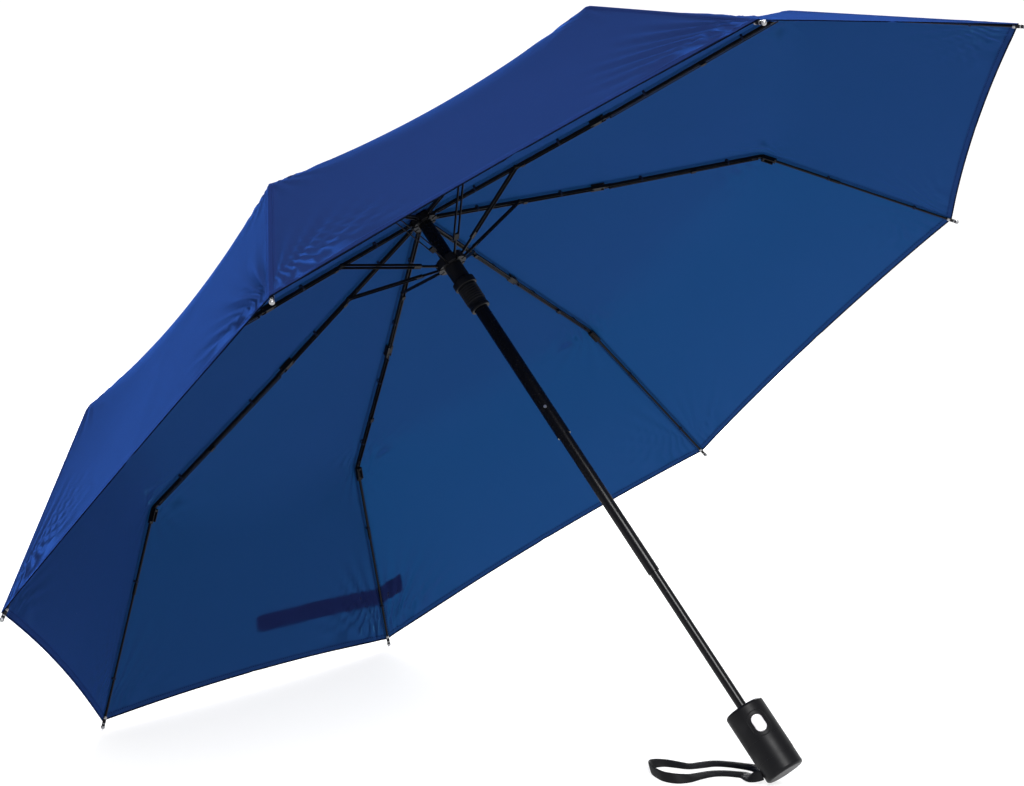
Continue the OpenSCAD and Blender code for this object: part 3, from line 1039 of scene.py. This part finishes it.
                depth += (self.hem_thick - self.thick) * near_hem
            below = shape.verts.new(matrix @ (spot - out * depth))
            under[i, j] = below
            facing[below], spread[below] = facing[vert], spread[vert]
        for face in shape.faces:
            face[layer] = 1
        area = sum(face.calc_area() for face in shape.faces)
        for i in range(count):
            for j in range(len(over) - 1):
                cell = [(i, j), (i, j + 1), (i + 1, j + 1), (i + 1, j)]
                loose = [n for n, at in enumerate(cell) if under[at] is not grid[at]]
                if len(loose) == 1:
                    # a corner cell is split towards its loose corner, so that no half lies in the outer layer
                    cell = cell[loose[0]:] + cell[:loose[0]]
                    for half in ((0, 1, 2), (0, 2, 3)):
                        shape.faces.new([under[cell[n]] for n in half])[layer] = -1
                else:
                    shape.faces.new([under[at] for at in cell])[layer] = -1
        if section is Section.OUTER:
            for j in range(len(over) - 1):
                ring = [grid[count, j], grid[count, j + 1], under[count, j + 1], under[count, j]]
                shape.faces.new(list(dict.fromkeys(ring)))[layer] = 0
        shape.normal_update()
        ahead = grid[count, len(over) // 2].co - grid[count - 1, len(over) // 2].co
        wrong = [
            face for face in shape.faces
            if (
                face.normal.dot(sum((facing[v] for v in face.verts), Vector())) * face[layer] < 0
                if face[layer] else face.normal.dot(ahead) < 0
            )
        ]
        bmesh.ops.reverse_faces(shape, faces=wrong)
        shape.normal_update()
        for face in shape.faces:
            for loop in face.loops:
                loop[cut].uv = spread[loop.vert]
        directions = [
            tuple(facing[loop.vert] * face[layer] if face[layer] else face.normal)
            for face in shape.faces
            for loop in face.loops
        ]
        name = f"cloth_{section.name.lower()}_{rib}"
        thing = bench.piece(name, shape, Slot.CLOTH, f"{section.value}_{rib}", 180.0)
        thing.data.normals_split_custom_set(directions)
        length = (last - first) * MM
        widest = 2 * self.line(last, 0.0)[0].x * math.sin(HALF_GORE) * MM
        min(area, widest * length)
        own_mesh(thing)
        previous = 8 if rib == 1 else rib - 1
        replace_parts(thing, f"canopy_gore_{rib}", f"canopy_gore_{previous}")
        return thing

    def build(self, bench: Workbench, shaft: Shaft) -> None:
        """Make all the cloth.

        Args:
            bench: makes the pieces.
            shaft: the shaft's frame.
        """
        for rib in RIBS:
            for section in Section:
                self.strip(bench, shaft, rib, section)


@dataclass
class TieBand:
    """The tape that wraps the folded umbrella, lying across one gore near the hem."""

    rib: int = 4
    past: float = 26.0
    long_side: float = 169.0
    width: float = 18.0
    rise: float = 48.0
    gap: float = 1.3
    thick: float = 0.7
    segments: tuple = (44, 6)

    def build(self, bench: Workbench, shaft: Shaft, canopy: Canopy) -> bpy.types.Object:
        """Make the band.

        Args:
            bench: makes the piece.
            shaft: the shaft's frame.
            canopy: the cloth that it lies on.

        Returns:
            The piece.
        """
        shape = bmesh.new()
        cut = shape.loops.layers.uv.new("cut")
        along, over = self.segments
        bmesh.ops.create_grid(shape, x_segments=along, y_segments=over, size=1.0)
        matrix = shaft.rib_matrix(self.rib)
        for vert in shape.verts:
            run = -self.past + (vert.co.x + 1) / 2 * (self.past + self.long_side)
            side = 1 if run >= 0 else -1
            rounded = min(1.0, (self.long_side - run) / 6.0)
            w = vert.co.y * self.width / 2 * (0.72 + 0.28 * math.sqrt(max(0.0, rounded)))
            s = canopy.ends[3] - self.rise + w
            half = canopy.line(s, canopy.rib_round)[0].x * math.sin(HALF_GORE)
            a = min(0.99, abs(run) / half)
            ripple = 0.5 * math.sin(run / 17.0) * (vert.co.y ** 2) + 0.3 * math.sin(run / 9.0 + 1.0)
            spot = canopy.point(self.rib, side, a, s)
            out = canopy.normal(self.rib, side, max(a, 0.01), s)
            vert.co = matrix @ (spot + out * (self.gap + ripple))
        shape.normal_update()
        outward = matrix.to_3x3() @ canopy.normal(self.rib, 1, 0.5, canopy.ends[3] - self.rise)
        if sum((f.normal for f in shape.faces), Vector()).dot(outward) < 0:
            bmesh.ops.reverse_faces(shape, faces=shape.faces)
        area = sum(face.calc_area() for face in shape.faces)
        bmesh.ops.solidify(shape, geom=shape.faces[:], thickness=self.thick * MM)
        ends = [canopy.point(self.rib, 1, a, canopy.ends[3] - self.rise) for a in (0.1, 0.6)]
        way = (matrix.to_3x3() @ (ends[1] - ends[0])).normalized()
        tilt = outward.normalized().cross(way)
        for face in shape.faces:
            for loop in face.loops:
                loop[cut].uv = (loop.vert.co.dot(tilt), loop.vert.co.dot(way))
        band = bench.piece("tie_tape", shape, Slot.WEBBING, f"outer_rib_{self.rib}", 50.0)
        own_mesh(band)
        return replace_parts(band, "tie_band")


@dataclass
class WristStrap:
    """A flat braid that leaves the handle's end and lies in a loop on the floor, in row millimetres."""

    width: float = 8.0
    thick: float = 1.4
    sides: int = 16
    finer: int = 7
    length: float = 0.2695
    route: tuple = (
        (221.5, -12.5, 8.4, 85), (217, -13.5, 6.6, 76), (211, -13, 4.9, 56), (204.5, -8, 3.4, 36),
        (198, -3.5, 2.5, 24), (190, -4, 2.1, 20), (182, -7, 2.1, 20), (175, -14, 2.3, 22),
        (171, -25, 2.6, 28), (169, -37, 3.4, 45), (163, -45, 4.1, 68), (152, -46, 4.2, 84),
        (141, -41, 4.1, 90), (132, -35, 4.2, 96), (126, -28, 4.1, 112), (123, -19, 3.7, 128),
        (128, -11, 2.9, 146), (139, -8, 2.4, 156), (148, -6, 2.2, 160), (154, 2, 2.2, 158),
        (160, 11, 2.2, 158), (170, 16, 2.1, 160), (183, 18, 2.2, 158), (195, 17, 2.7, 150),
        (205, 11, 3.4, 136), (211, 3, 4.6, 118), (214, -4, 6, 102), (218.5, -8.2, 8, 95),
    )  # each with the braid's tilt in degrees, 90 on its edge

    def centreline(self) -> list[tuple[Vector, float]]:
        """The route as a smooth line, in metres, with the tilt in radians."""
        points = [Vector((x * MM, y * MM, z * MM, math.radians(tilt))) for x, y, z, tilt in self.route]
        ends = [points[0] * 2 - points[1]] + points + [points[-1] * 2 - points[-2]]
        line = []
        for p0, p1, p2, p3 in zip(ends, ends[1:], ends[2:], ends[3:]):
            for n in range(self.finer):
                t = n / self.finer
                line.append(
                    0.5 * (
                        2 * p1 + (p2 - p0) * t + (2 * p0 - 5 * p1 + 4 * p2 - p3) * t ** 2
                        + (3 * p1 - p0 - 3 * p2 + p3) * t ** 3
                    )
                )
        return [(spot.to_3d(), spot.w) for spot in line + [points[-1]]]

    def build(self, bench: Workbench) -> bpy.types.Object:
        """Make the strap.

        Args:
            bench: makes the piece.

        Returns:
            The piece.
        """
        line, tilts = zip(*self.centreline())
        frames, runs, run = [], [], 0.0
        for n, (spot, tilt) in enumerate(zip(line, tilts)):
            way = (line[min(n + 1, len(line) - 1)] - line[max(n - 1, 0)]).normalized()
            level = Vector((way.y, -way.x, 0)).normalized()
            wide = level * math.cos(tilt) + level.cross(way) * math.sin(tilt)
            frames.append(Matrix.Translation(spot) @ Matrix((wide, way, wide.cross(way))).transposed().to_4x4())
            run += (spot - line[n - 1]).length if n else 0.0
            runs.append(run)
        shape = bmesh.new()
        cut = shape.loops.layers.uv.new("cut")
        bmesh.ops.create_circle(shape, cap_ends=True, radius=1.0, segments=self.sides)
        for vert in shape.verts:
            x, y = vert.co.x, vert.co.y
            vert.co = Vector(
                (
                    math.copysign(abs(x) ** 0.75, x) * self.width / 2 * MM, 0,
                    math.copysign(abs(y) ** 0.8, y) * self.thick / 2 * MM,
                )
            )
        local = {v: (v.co.x + v.co.z, 0.0) for v in shape.verts}
        bmesh.ops.transform(shape, matrix=frames[0], verts=shape.verts)
        edges = shape.edges[:]
        for before, after, run in zip(frames, frames[1:], runs[1:]):
            grown = bmesh.ops.extrude_edge_only(shape, edges=edges)["geom"]
            verts = [g for g in grown if isinstance(g, bmesh.types.BMVert)]
            edges = [g for g in grown if isinstance(g, bmesh.types.BMEdge) and all(v in verts for v in g.verts)]
            bmesh.ops.transform(shape, matrix=after @ before.inverted(), verts=verts)
            for vert in verts:
                spot = after.inverted() @ vert.co
                local[vert] = (spot.x + spot.z, run)
        bmesh.ops.edgeloop_fill(shape, edges=edges)
        bmesh.ops.recalc_face_normals(shape, faces=shape.faces)
        for face in shape.faces:
            for loop in face.loops:
                loop[cut].uv = local[loop.vert]
        strap = bench.piece("wrist_braid", shape, Slot.BRAID, "handle", 70.0)
        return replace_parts(strap, "wrist_strap")


@dataclass
class Crown:
    """The domed ferrule over the cloth's middle, with its cloth rosette."""

    base: float = 4.6
    top: float = 17.1
    flutes: int = 24
    rosette_r: float = 12.4
    frill: int = 16

    def build(self, bench: Workbench, shaft: Shaft) -> None:
        """Make the ferrule and the rosette.

        Args:
            bench: makes the pieces.
            shaft: the shaft's frame.
        """
        arc = bench.arc
        profile = (
            [(0, self.base), (10.2, self.base)] + arc((9.9, self.base + 0.5), 0.5, -90, 0, 4)
            + arc((9.4, self.base + 1.6), 1.0, 10, 90, 5)
            + [(8.5, self.base + 2.8), (8.1, self.base + 3.2), (8.1, self.base + 3.9)]
            + arc((7.9, self.base + 4.3), 0.35, -60, 60, 4)
            + [(7.8, self.base + 4.8), (7.7, self.base + 7.6)]
            + arc((5.2, self.top - 2.6), 2.6, 5, 80, 8)
            + [(3.2, self.top - 0.05), (2.9, self.top - 0.35), (0, self.top - 0.4)]
        )
        ferrule = bench.piece(
            "crown_ferrule", bench.lathe(profile, shaft.matrix, 96), Slot.PLASTIC, "crown"
        )
        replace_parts(ferrule, "crown_cap")
        rosette = bmesh.new()
        uv = rosette.loops.layers.uv.new("cut")
        bmesh.ops.create_circle(rosette, cap_ends=True, radius=self.rosette_r, segments=96)
        top = rosette.faces[:][0]
        for thick in (0.5, 1.4, 2.2):
            bmesh.ops.inset_region(rosette, faces=[top], thickness=thick, depth=0.0)
        for vert in rosette.verts:
            far = vert.co.length
            turn = math.atan2(vert.co.y, vert.co.x)
            frill = max(0.0, (far - 9.5) / 3.0)
            vert.co.z = 3.95 + 0.22 * frill * math.sin(self.frill * turn)
        rosette.normal_update()
        if rosette.faces[:][0].normal.z < 0:
            bmesh.ops.reverse_faces(rosette, faces=rosette.faces)
        bmesh.ops.solidify(rosette, geom=rosette.faces[:], thickness=0.45)
        for face in rosette.faces:
            for loop in face.loops:
                far = loop.vert.co.xy.length
                loop[uv].uv = (loop.vert.co.x * MM + 0.02, max(0.0, self.rosette_r - far) * MM)
        bmesh.ops.transform(rosette, matrix=shaft.matrix, verts=rosette.verts)
        cloth = bench.piece("crown_rosette", rosette, Slot.CLOTH, "crown", 60.0)
        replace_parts(cloth, "crown_washer")


@dataclass
class Runner:
    """The ribbed sleeve below the runner's slotted ring."""

    drop: float = 46.5
    top: float = 20.0
    end: float = 49.5
    bore: float = 6.35

    def build(self, bench: Workbench, shaft: Shaft) -> None:
        """Make the sleeve.

        Args:
            bench: makes the piece.
            shaft: the shaft's frame.
        """
        arc = bench.arc
        high, low = -self.drop - self.top, -self.drop - self.end
        flange = (
            [(7.6, high)] + arc((9.4, high - 0.6), 0.6, 90, 0, 5) + arc((9.4, high - 5.4), 0.6, 0, -90, 5)
            + [(8.4, high - 6.2)]
        )
        ribbed = []
        for ring in range(7):
            level = high - 8.2 - ring * 2.2
            ribbed += arc((7.95, level), 0.75, 60, -60, 5)
        foot = [(7.9, low + 3.4)] + arc((7.9, low + 2.6), 0.6, 80, 0, 4) + arc((7.9, low + 0.6), 0.6, 0, -90, 5)
        profile = [(self.bore, low)] + list(reversed(flange + ribbed + foot)) + [(self.bore, high)]
        profile.append(profile[0])
        sleeve = bench.piece(
            "runner_grip", bench.lathe(profile, shaft.matrix, 72), Slot.PLASTIC, "runner"
        )
        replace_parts(sleeve, "runner_collar")


@dataclass
class Button:
    """The dished oval button and the soft rim round its recess."""

    turn: float = -40.0
    height: float = -512.0
    handle_r: float = 16.5
    radius: float = 4.7
    half: float = 2.8
    base: float = 13.0
    face_r: float = 16.3       # the round that the button's face keeps within
    rim_r: float = 7.7
    rim_wire: float = 0.45
    steps: tuple = (
        (0.15, 15.75), (0.20, 15.98), (0.25, 16.14), (0.35, 16.24), (0.35, 16.27), (0.5, 16.16),
        (0.7, 15.98), (0.8, 15.82), (0.6, 15.72),
    )

    def build(self, bench: Workbench, shaft: Shaft) -> None:
        """Make the button and its rim.

        Args:
            bench: makes the pieces.
            shaft: the shaft's frame.
        """
        place = (
            shaft.matrix
            @ Matrix.Rotation(math.radians(self.turn), 4, "Z")
            @ Matrix.Translation((0, 0, self.height))
        )
        outwards = place @ Matrix.Rotation(math.radians(90), 4, "Y")
        shape = bench.oval(self.radius, self.half, 72)
        bmesh.ops.translate(shape, vec=(0, 0, self.base), verts=shape.verts)
        top = bench.raise_face(shape, shape.faces[:][0], 15.45 - self.base)
        level = 15.45
        for inwards, height in self.steps:
            bmesh.ops.inset_region(shape, faces=[top], thickness=inwards, depth=0.0, use_even_offset=True)
            bmesh.ops.translate(shape, vec=(0, 0, height - level), verts=top.verts[:])
            level = height
        for vert in shape.verts:
            vert.co.z = min(vert.co.z, math.sqrt(self.face_r ** 2 - vert.co.y ** 2))
        bmesh.ops.recalc_face_normals(shape, faces=shape.faces)
        bmesh.ops.transform(shape, matrix=outwards, verts=shape.verts)
        button = bench.piece("thumb_button", shape, Slot.BUTTON, "push_button", 35.0)
        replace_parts(button, "push_button")
        self._rim(bench, outwards)

    def _rim(self, bench: Workbench, outwards: Matrix) -> None:
        """Make the rim, which follows the handle's round.

        Args:
            bench: makes the piece.
            outwards: the button's frame, +Z out of the handle and X along it.
        """
        sides = 96
        frames = []
        for n in range(sides):
            turn = 2 * math.pi * n / sides
            x = self.rim_r * math.cos(turn) + math.copysign(self.half, math.cos(turn))
            y = self.rim_r * math.sin(turn)
            z = math.sqrt(self.handle_r ** 2 - y ** 2) - 0.12
            frames.append((Vector((x, y, z)), Vector((math.cos(turn), math.sin(turn), 0))))
        shape = bmesh.new()
        bmesh.ops.create_circle(shape, cap_ends=False, radius=self.rim_wire, segments=10)
        first = shape.edges[:]
        before = self._frame(frames[0])
        bmesh.ops.transform(shape, matrix=before, verts=shape.verts)
        edges = first
        for spot in frames[1:]:
            after = self._frame(spot)
            grown = bmesh.ops.extrude_edge_only(shape, edges=edges)["geom"]
            verts = [g for g in grown if isinstance(g, bmesh.types.BMVert)]
            edges = [g for g in grown if isinstance(g, bmesh.types.BMEdge) and all(v in verts for v in g.verts)]
            bmesh.ops.transform(shape, matrix=after @ before.inverted(), verts=verts)
            before = after
        bmesh.ops.bridge_loops(shape, edges=first + edges)
        bmesh.ops.recalc_face_normals(shape, faces=shape.faces)
        bmesh.ops.transform(shape, matrix=outwards, verts=shape.verts)
        bench.piece("button_rim", shape, Slot.PLASTIC, "handle", 80.0)

    @staticmethod
    def _frame(spot: tuple[Vector, Vector]) -> Matrix:
        """The frame of the rim's section at a spot.

        Args:
            spot: its middle and the direction away from the button.

        Returns:
            The frame, with the section's circle square to the rim.
        """
        middle, away = spot
        rise = Vector((0, 0, 1))
        return Matrix.Translation(middle) @ Matrix((away, rise, away.cross(rise))).transposed().to_4x4()


@dataclass
class RibFittings:
    """Nickel tips, rivets and thread ties on every rib."""

    ribs: Ribs = field(default_factory=Ribs)
    ball: float = 1.92
    rivet_r: float = 1.25
    rivet_side: float = 2.35
    tie_half: float = 1.4

    def build(self, bench: Workbench, shaft: Shaft) -> None:
        """Make the fittings.

        Args:
            bench: makes the pieces.
            shaft: the shaft's frame.
        """
        for rib in RIBS:
            self._tip(bench, shaft, rib)
            self._rivets(bench, shaft, rib)
            self._ties(bench, shaft, rib)

    def _tip(self, bench: Workbench, shaft: Shaft, rib: int) -> None:
        """Make a rib's tip, which covers the end of the wire.

        Args:
            bench: makes the piece.
            shaft: the shaft's frame.
            rib: the rib's number.
        """
        end = self.ribs.outer_len
        profile = (
            [(0, end - 9.6), (1.45, end - 9.6), (1.6, end - 9.3), (1.6, end - 7.4), (1.35, end - 7.0)]
            + [(1.35, end - 4.2), (1.6, end - 3.4)]
            + bench.arc((0, end), self.ball, -48, 90, 12)
        )
        matrix = self.ribs.member_matrix(shaft, rib, Section.OUTER) @ Matrix.Rotation(math.radians(90), 4, "Y")
        tip = bench.piece(
            f"rib_tip_{rib}", bench.lathe(profile, matrix, 24), Slot.BRIGHT, f"outer_rib_{rib}"
        )
        tip.data.materials.clear()
        tip.data.materials.append(bench.wardrobe.tips)

    def _rivets(self, bench: Workbench, shaft: Shaft, rib: int) -> None:
        """Make the rivet heads where the stretcher and the middle rib are pinned.

        Args:
            bench: makes the piece.
            shaft: the shaft's frame.
            rib: the rib's number.
        """
        head = bench.arc((0, 0), self.rivet_r, 0, 90, 5)
        profile = [(0, -0.25), (self.rivet_r, -0.25)] + [(r, h * 0.5) for r, h in head]
        member = self.ribs.member_matrix(shaft, rib, Section.INNER)
        shape = bmesh.new()
        for along, above, out in (
            (self.ribs.stretcher_at, 0.0, self.rivet_side),
            (self.ribs.inner_len, self.ribs.joint_lift, self.rivet_side + 0.25),
        ):
            for side in (-1, 1):
                matrix = (
                    member
                    @ Matrix.Translation((along, side * out, above))
                    @ Matrix.Rotation(math.radians(-90 * side), 4, "X")
                )
                bench.add_lathe(shape, profile, matrix, 14)
        bench.piece(f"rivets_{rib}", shape, Slot.FRAME, f"inner_rib_{rib}")

    def _ties(self, bench: Workbench, shaft: Shaft, rib: int) -> None:
        """Make the thread loops that hold the cloth to a rib.

        Args:
            bench: makes the pieces.
            shaft: the shaft's frame.
            rib: the rib's number.
        """
        spots = {Section.INNER: (44.0, 126.0), Section.MIDDLE: (40.0, 132.0), Section.OUTER: (64.0, 150.0)}
        halves = {Section.INNER: (2.0, 1.8), Section.MIDDLE: (1.8, 1.8), Section.OUTER: (1.5, 1.6)}
        for section, places in spots.items():
            member = self.ribs.member_matrix(shaft, rib, section)
            wide, deep = halves[section]
            shape = bmesh.new()
            for at in places:
                for turn in (-1, 0, 1):
                    loop = bmesh.new()
                    bmesh.ops.create_circle(loop, cap_ends=False, radius=0.28, segments=6)
                    bmesh.ops.translate(loop, vec=(1.0, 0, 0), verts=loop.verts)
                    bmesh.ops.rotate(
                        loop, cent=(1.0, 0, 0), matrix=Matrix.Rotation(math.radians(90), 3, "X"), verts=loop.verts
                    )
                    bmesh.ops.spin(
                        loop, geom=loop.verts[:] + loop.edges[:], cent=(0, 0, 0), axis=(0, 0, 1),
                        angle=2 * math.pi, steps=20, use_merge=True, use_duplicate=False,
                    )
                    bmesh.ops.remove_doubles(loop, verts=loop.verts, dist=1e-4)
                    lift = 0.5 * (self.cloth_gap(section, at) - deep)
                    for vert in loop.verts:
                        flat = vert.co.xy
                        away = flat.length - 1.0
                        way = flat.normalized()
                        vert.co.x = way.x * (wide + away)
                        vert.co.y = way.y * (deep + lift + away) + lift
                    bmesh.ops.recalc_face_normals(loop, faces=loop.faces)
                    stand = Matrix.Translation((at + turn * 0.6, 0, 0)) @ Matrix(
                        ((0, 0, 1, 0), (1, 0, 0, 0), (0, 1, 0, 0), (0, 0, 0, 1))
                    )
                    bmesh.ops.transform(loop, matrix=member @ stand, verts=loop.verts)
                    bench.join(shape, loop)
            bench.piece(f"threads_{section.name.lower()}_{rib}", shape, Slot.WEBBING, f"{section.value}_{rib}", 80.0)

    def cloth_gap(self, section: Section, at: float) -> float:
        """Height of the cloth's inner face above a rib's line.

        Args:
            section: which length of the rib.
            at: distance along it.

        Returns:
            The height.
        """
        return 4.0 if section is not Section.OUTER else 4.0 - 2.3 * at / self.ribs.outer_len


# ---------------------------------------------------------------------- studio


@dataclass
class Studio:
    """Pale sweep, soft lights and the camera, in row metres."""

    eye: tuple = (1.2032, -1.5173, 0.5327)
    yaw: float = 129.0565
    pitch: float = -7.049
    roll: float = -1.535
    lens: float = 83.43
    sensor: float = 36.0
    sweep: tuple = (9.0, 7.0, 3.2, 2.2)   # half width, depth behind, start of the rise, its radius

    def axes(self) -> tuple[Vector, Vector, Vector]:
        """The camera's right, up and forward directions."""
        yaw, pitch, roll = (math.radians(x) for x in (self.yaw, self.pitch, self.roll))
        look = Vector((math.cos(pitch) * math.cos(yaw), math.cos(pitch) * math.sin(yaw), math.sin(pitch)))
        right = look.cross(Vector((0, 0, 1))).normalized()
        up = right.cross(look)
        return (
            right * math.cos(roll) + up * math.sin(roll),
            up * math.cos(roll) - right * math.sin(roll),
            look,
        )

    def camera(self) -> None:
        """Make the camera."""
        data = bpy.data.cameras.new("camera")
        data.lens, data.sensor_width = self.lens, self.sensor
        data.clip_start, data.clip_end = 0.01, 100.0
        camera = bpy.data.objects.new("camera", data)
        bpy.context.scene.collection.objects.link(camera)
        right, up, look = self.axes()
        turn = Matrix((right, up, -look)).transposed().to_4x4()
        camera.matrix_world = Matrix.Translation(self.eye) @ turn
        bpy.context.scene.camera = camera

    def floor(self) -> None:
        """Make the sweep, flat under the umbrella and rising behind it."""
        half, depth, start, radius = self.sweep
        shape = bmesh.new()
        bmesh.ops.create_grid(shape, x_segments=4, y_segments=72, size=1.0)
        look = self.axes()[2]
        ahead = Vector((look.x, look.y, 0)).normalized()
        side = Vector((-ahead.y, ahead.x, 0))
        quarter = radius * math.pi / 2
        for vert in shape.verts:
            run = -6.0 + (vert.co.y + 1) / 2 * (6.0 + start + quarter + depth)
            out, rise = run, 0.0
            if run > start:
                turn = min((run - start) / radius, math.pi / 2)
                out = start + radius * math.sin(turn)
                rise = radius * (1 - math.cos(turn)) + max(0.0, run - start - quarter)
            vert.co = ahead * out + side * (vert.co.x * half) + Vector((0, 0, rise))
        mesh = bpy.data.meshes.new("sweep")
        for face in shape.faces:
            face.smooth = True
        bmesh.ops.recalc_face_normals(shape, faces=shape.faces)
        if shape.faces[:][0].normal.z < 0:
            bmesh.ops.reverse_faces(shape, faces=shape.faces)
        shape.to_mesh(mesh)
        shape.free()
        paper = bpy.data.objects.new("sweep", mesh)
        bpy.context.scene.collection.objects.link(paper)
        mesh.materials.append(Paper().make())

    @staticmethod
    def lamp(name: str, spot: tuple, aim: tuple, size: float, power: float, tint: tuple = (1, 1, 1)) -> None:
        """Make a square soft light.

        Args:
            name: its name.
            spot: where it stands.
            aim: the point that it faces.
            size: its side.
            power: watts.
            tint: its colour.
        """
        data = bpy.data.lights.new(name, "AREA")
        data.shape, data.size, data.energy, data.color = "SQUARE", size, power, tint
        light = bpy.data.objects.new(name, data)
        bpy.context.scene.collection.objects.link(light)
        light.location = spot
        light.rotation_euler = (Vector(aim) - Vector(spot)).to_track_quat("-Z", "Y").to_euler()

    def lights(self) -> None:
        """Make the lights and the sky."""
        world = bpy.data.worlds.new("studio")
        world.use_nodes = True
        backdrop = next(n for n in world.node_tree.nodes if n.type == "BACKGROUND")
        backdrop.inputs["Color"].default_value = (0.97, 0.985, 1.0, 1.0)
        backdrop.inputs["Strength"].default_value = 0.42
        bpy.context.scene.world = world
        bpy.context.scene.view_settings.view_transform = "Standard"
        self.lamp("key", (1.9, -1.4, 2.3), (0, 0, 0.3), 1.2, 120.0)
        self.lamp("top", (-0.5, 0.5, 2.6), (0, 0, 0.3), 2.4, 8.0)
        self.lamp("back", (-1.6, 2.2, 1.3), (0, 0, 0.3), 1.8, 240.0)

    def build(self) -> None:
        """Make the whole studio."""
        self.camera()
        self.floor()
        self.lights()


# ------------------------------------------------------------------------ main


def dress_frame(nodes: dict[str, bpy.types.Object], record: dict, wardrobe: Wardrobe) -> None:
    """Give every CAD node its finish.

    Args:
        nodes: the CAD nodes by name.
        record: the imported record.
        wardrobe: every finish.
    """
    listed = {name: slot["slot"] for slot in record.get("materials", []) for name in slot.get("nodes", [])}
    by_start = {
        "canopy": Slot.CLOTH, "crown_washer": Slot.CLOTH, "wrist": Slot.BRAID, "tie": Slot.WEBBING,
        "upper_tube": Slot.SHAFT, "middle_tube": Slot.SHAFT, "lower_tube": Slot.SHAFT,
        "handle": Slot.GRIP, "push": Slot.BUTTON, "guide": Slot.BRIGHT, "shaft_spring": Slot.BRIGHT,
        "button_spring": Slot.BRIGHT, "middle_stop": Slot.BRIGHT, "lower_stop": Slot.BRIGHT,
        "top_notch": Slot.PLASTIC, "crown_cap": Slot.PLASTIC, "runner": Slot.PLASTIC,
        "button_bezel": Slot.PLASTIC, "strap_anchor": Slot.PLASTIC,
    }
    for name, node in nodes.items():
        slot = next((s for start, s in by_start.items() if name.startswith(start)), Slot.FRAME)
        if name in listed:
            slot = Slot(listed[name])
        wardrobe.dress(node, slot)


def main() -> None:
    """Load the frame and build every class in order."""
    logging.basicConfig(level=logging.INFO, format="%(name)s: %(message)s")
    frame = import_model()
    shaft = Shaft(frame["joints"])
    wardrobe = Wardrobe()
    dress_frame(frame["nodes"], frame["record"], wardrobe)
    bench = Workbench(wardrobe)
    Studio().build()
    WristStrap().build(bench)
    canopy = Canopy()
    canopy.build(bench, shaft)
    TieBand().build(bench, shaft, canopy)
    Crown().build(bench, shaft)
    Runner().build(bench, shaft)
    Button().build(bench, shaft)
    RibFittings().build(bench, shaft)
    LOG.info("%d pieces", bench.count)


if __name__ == "__main__":
    main()
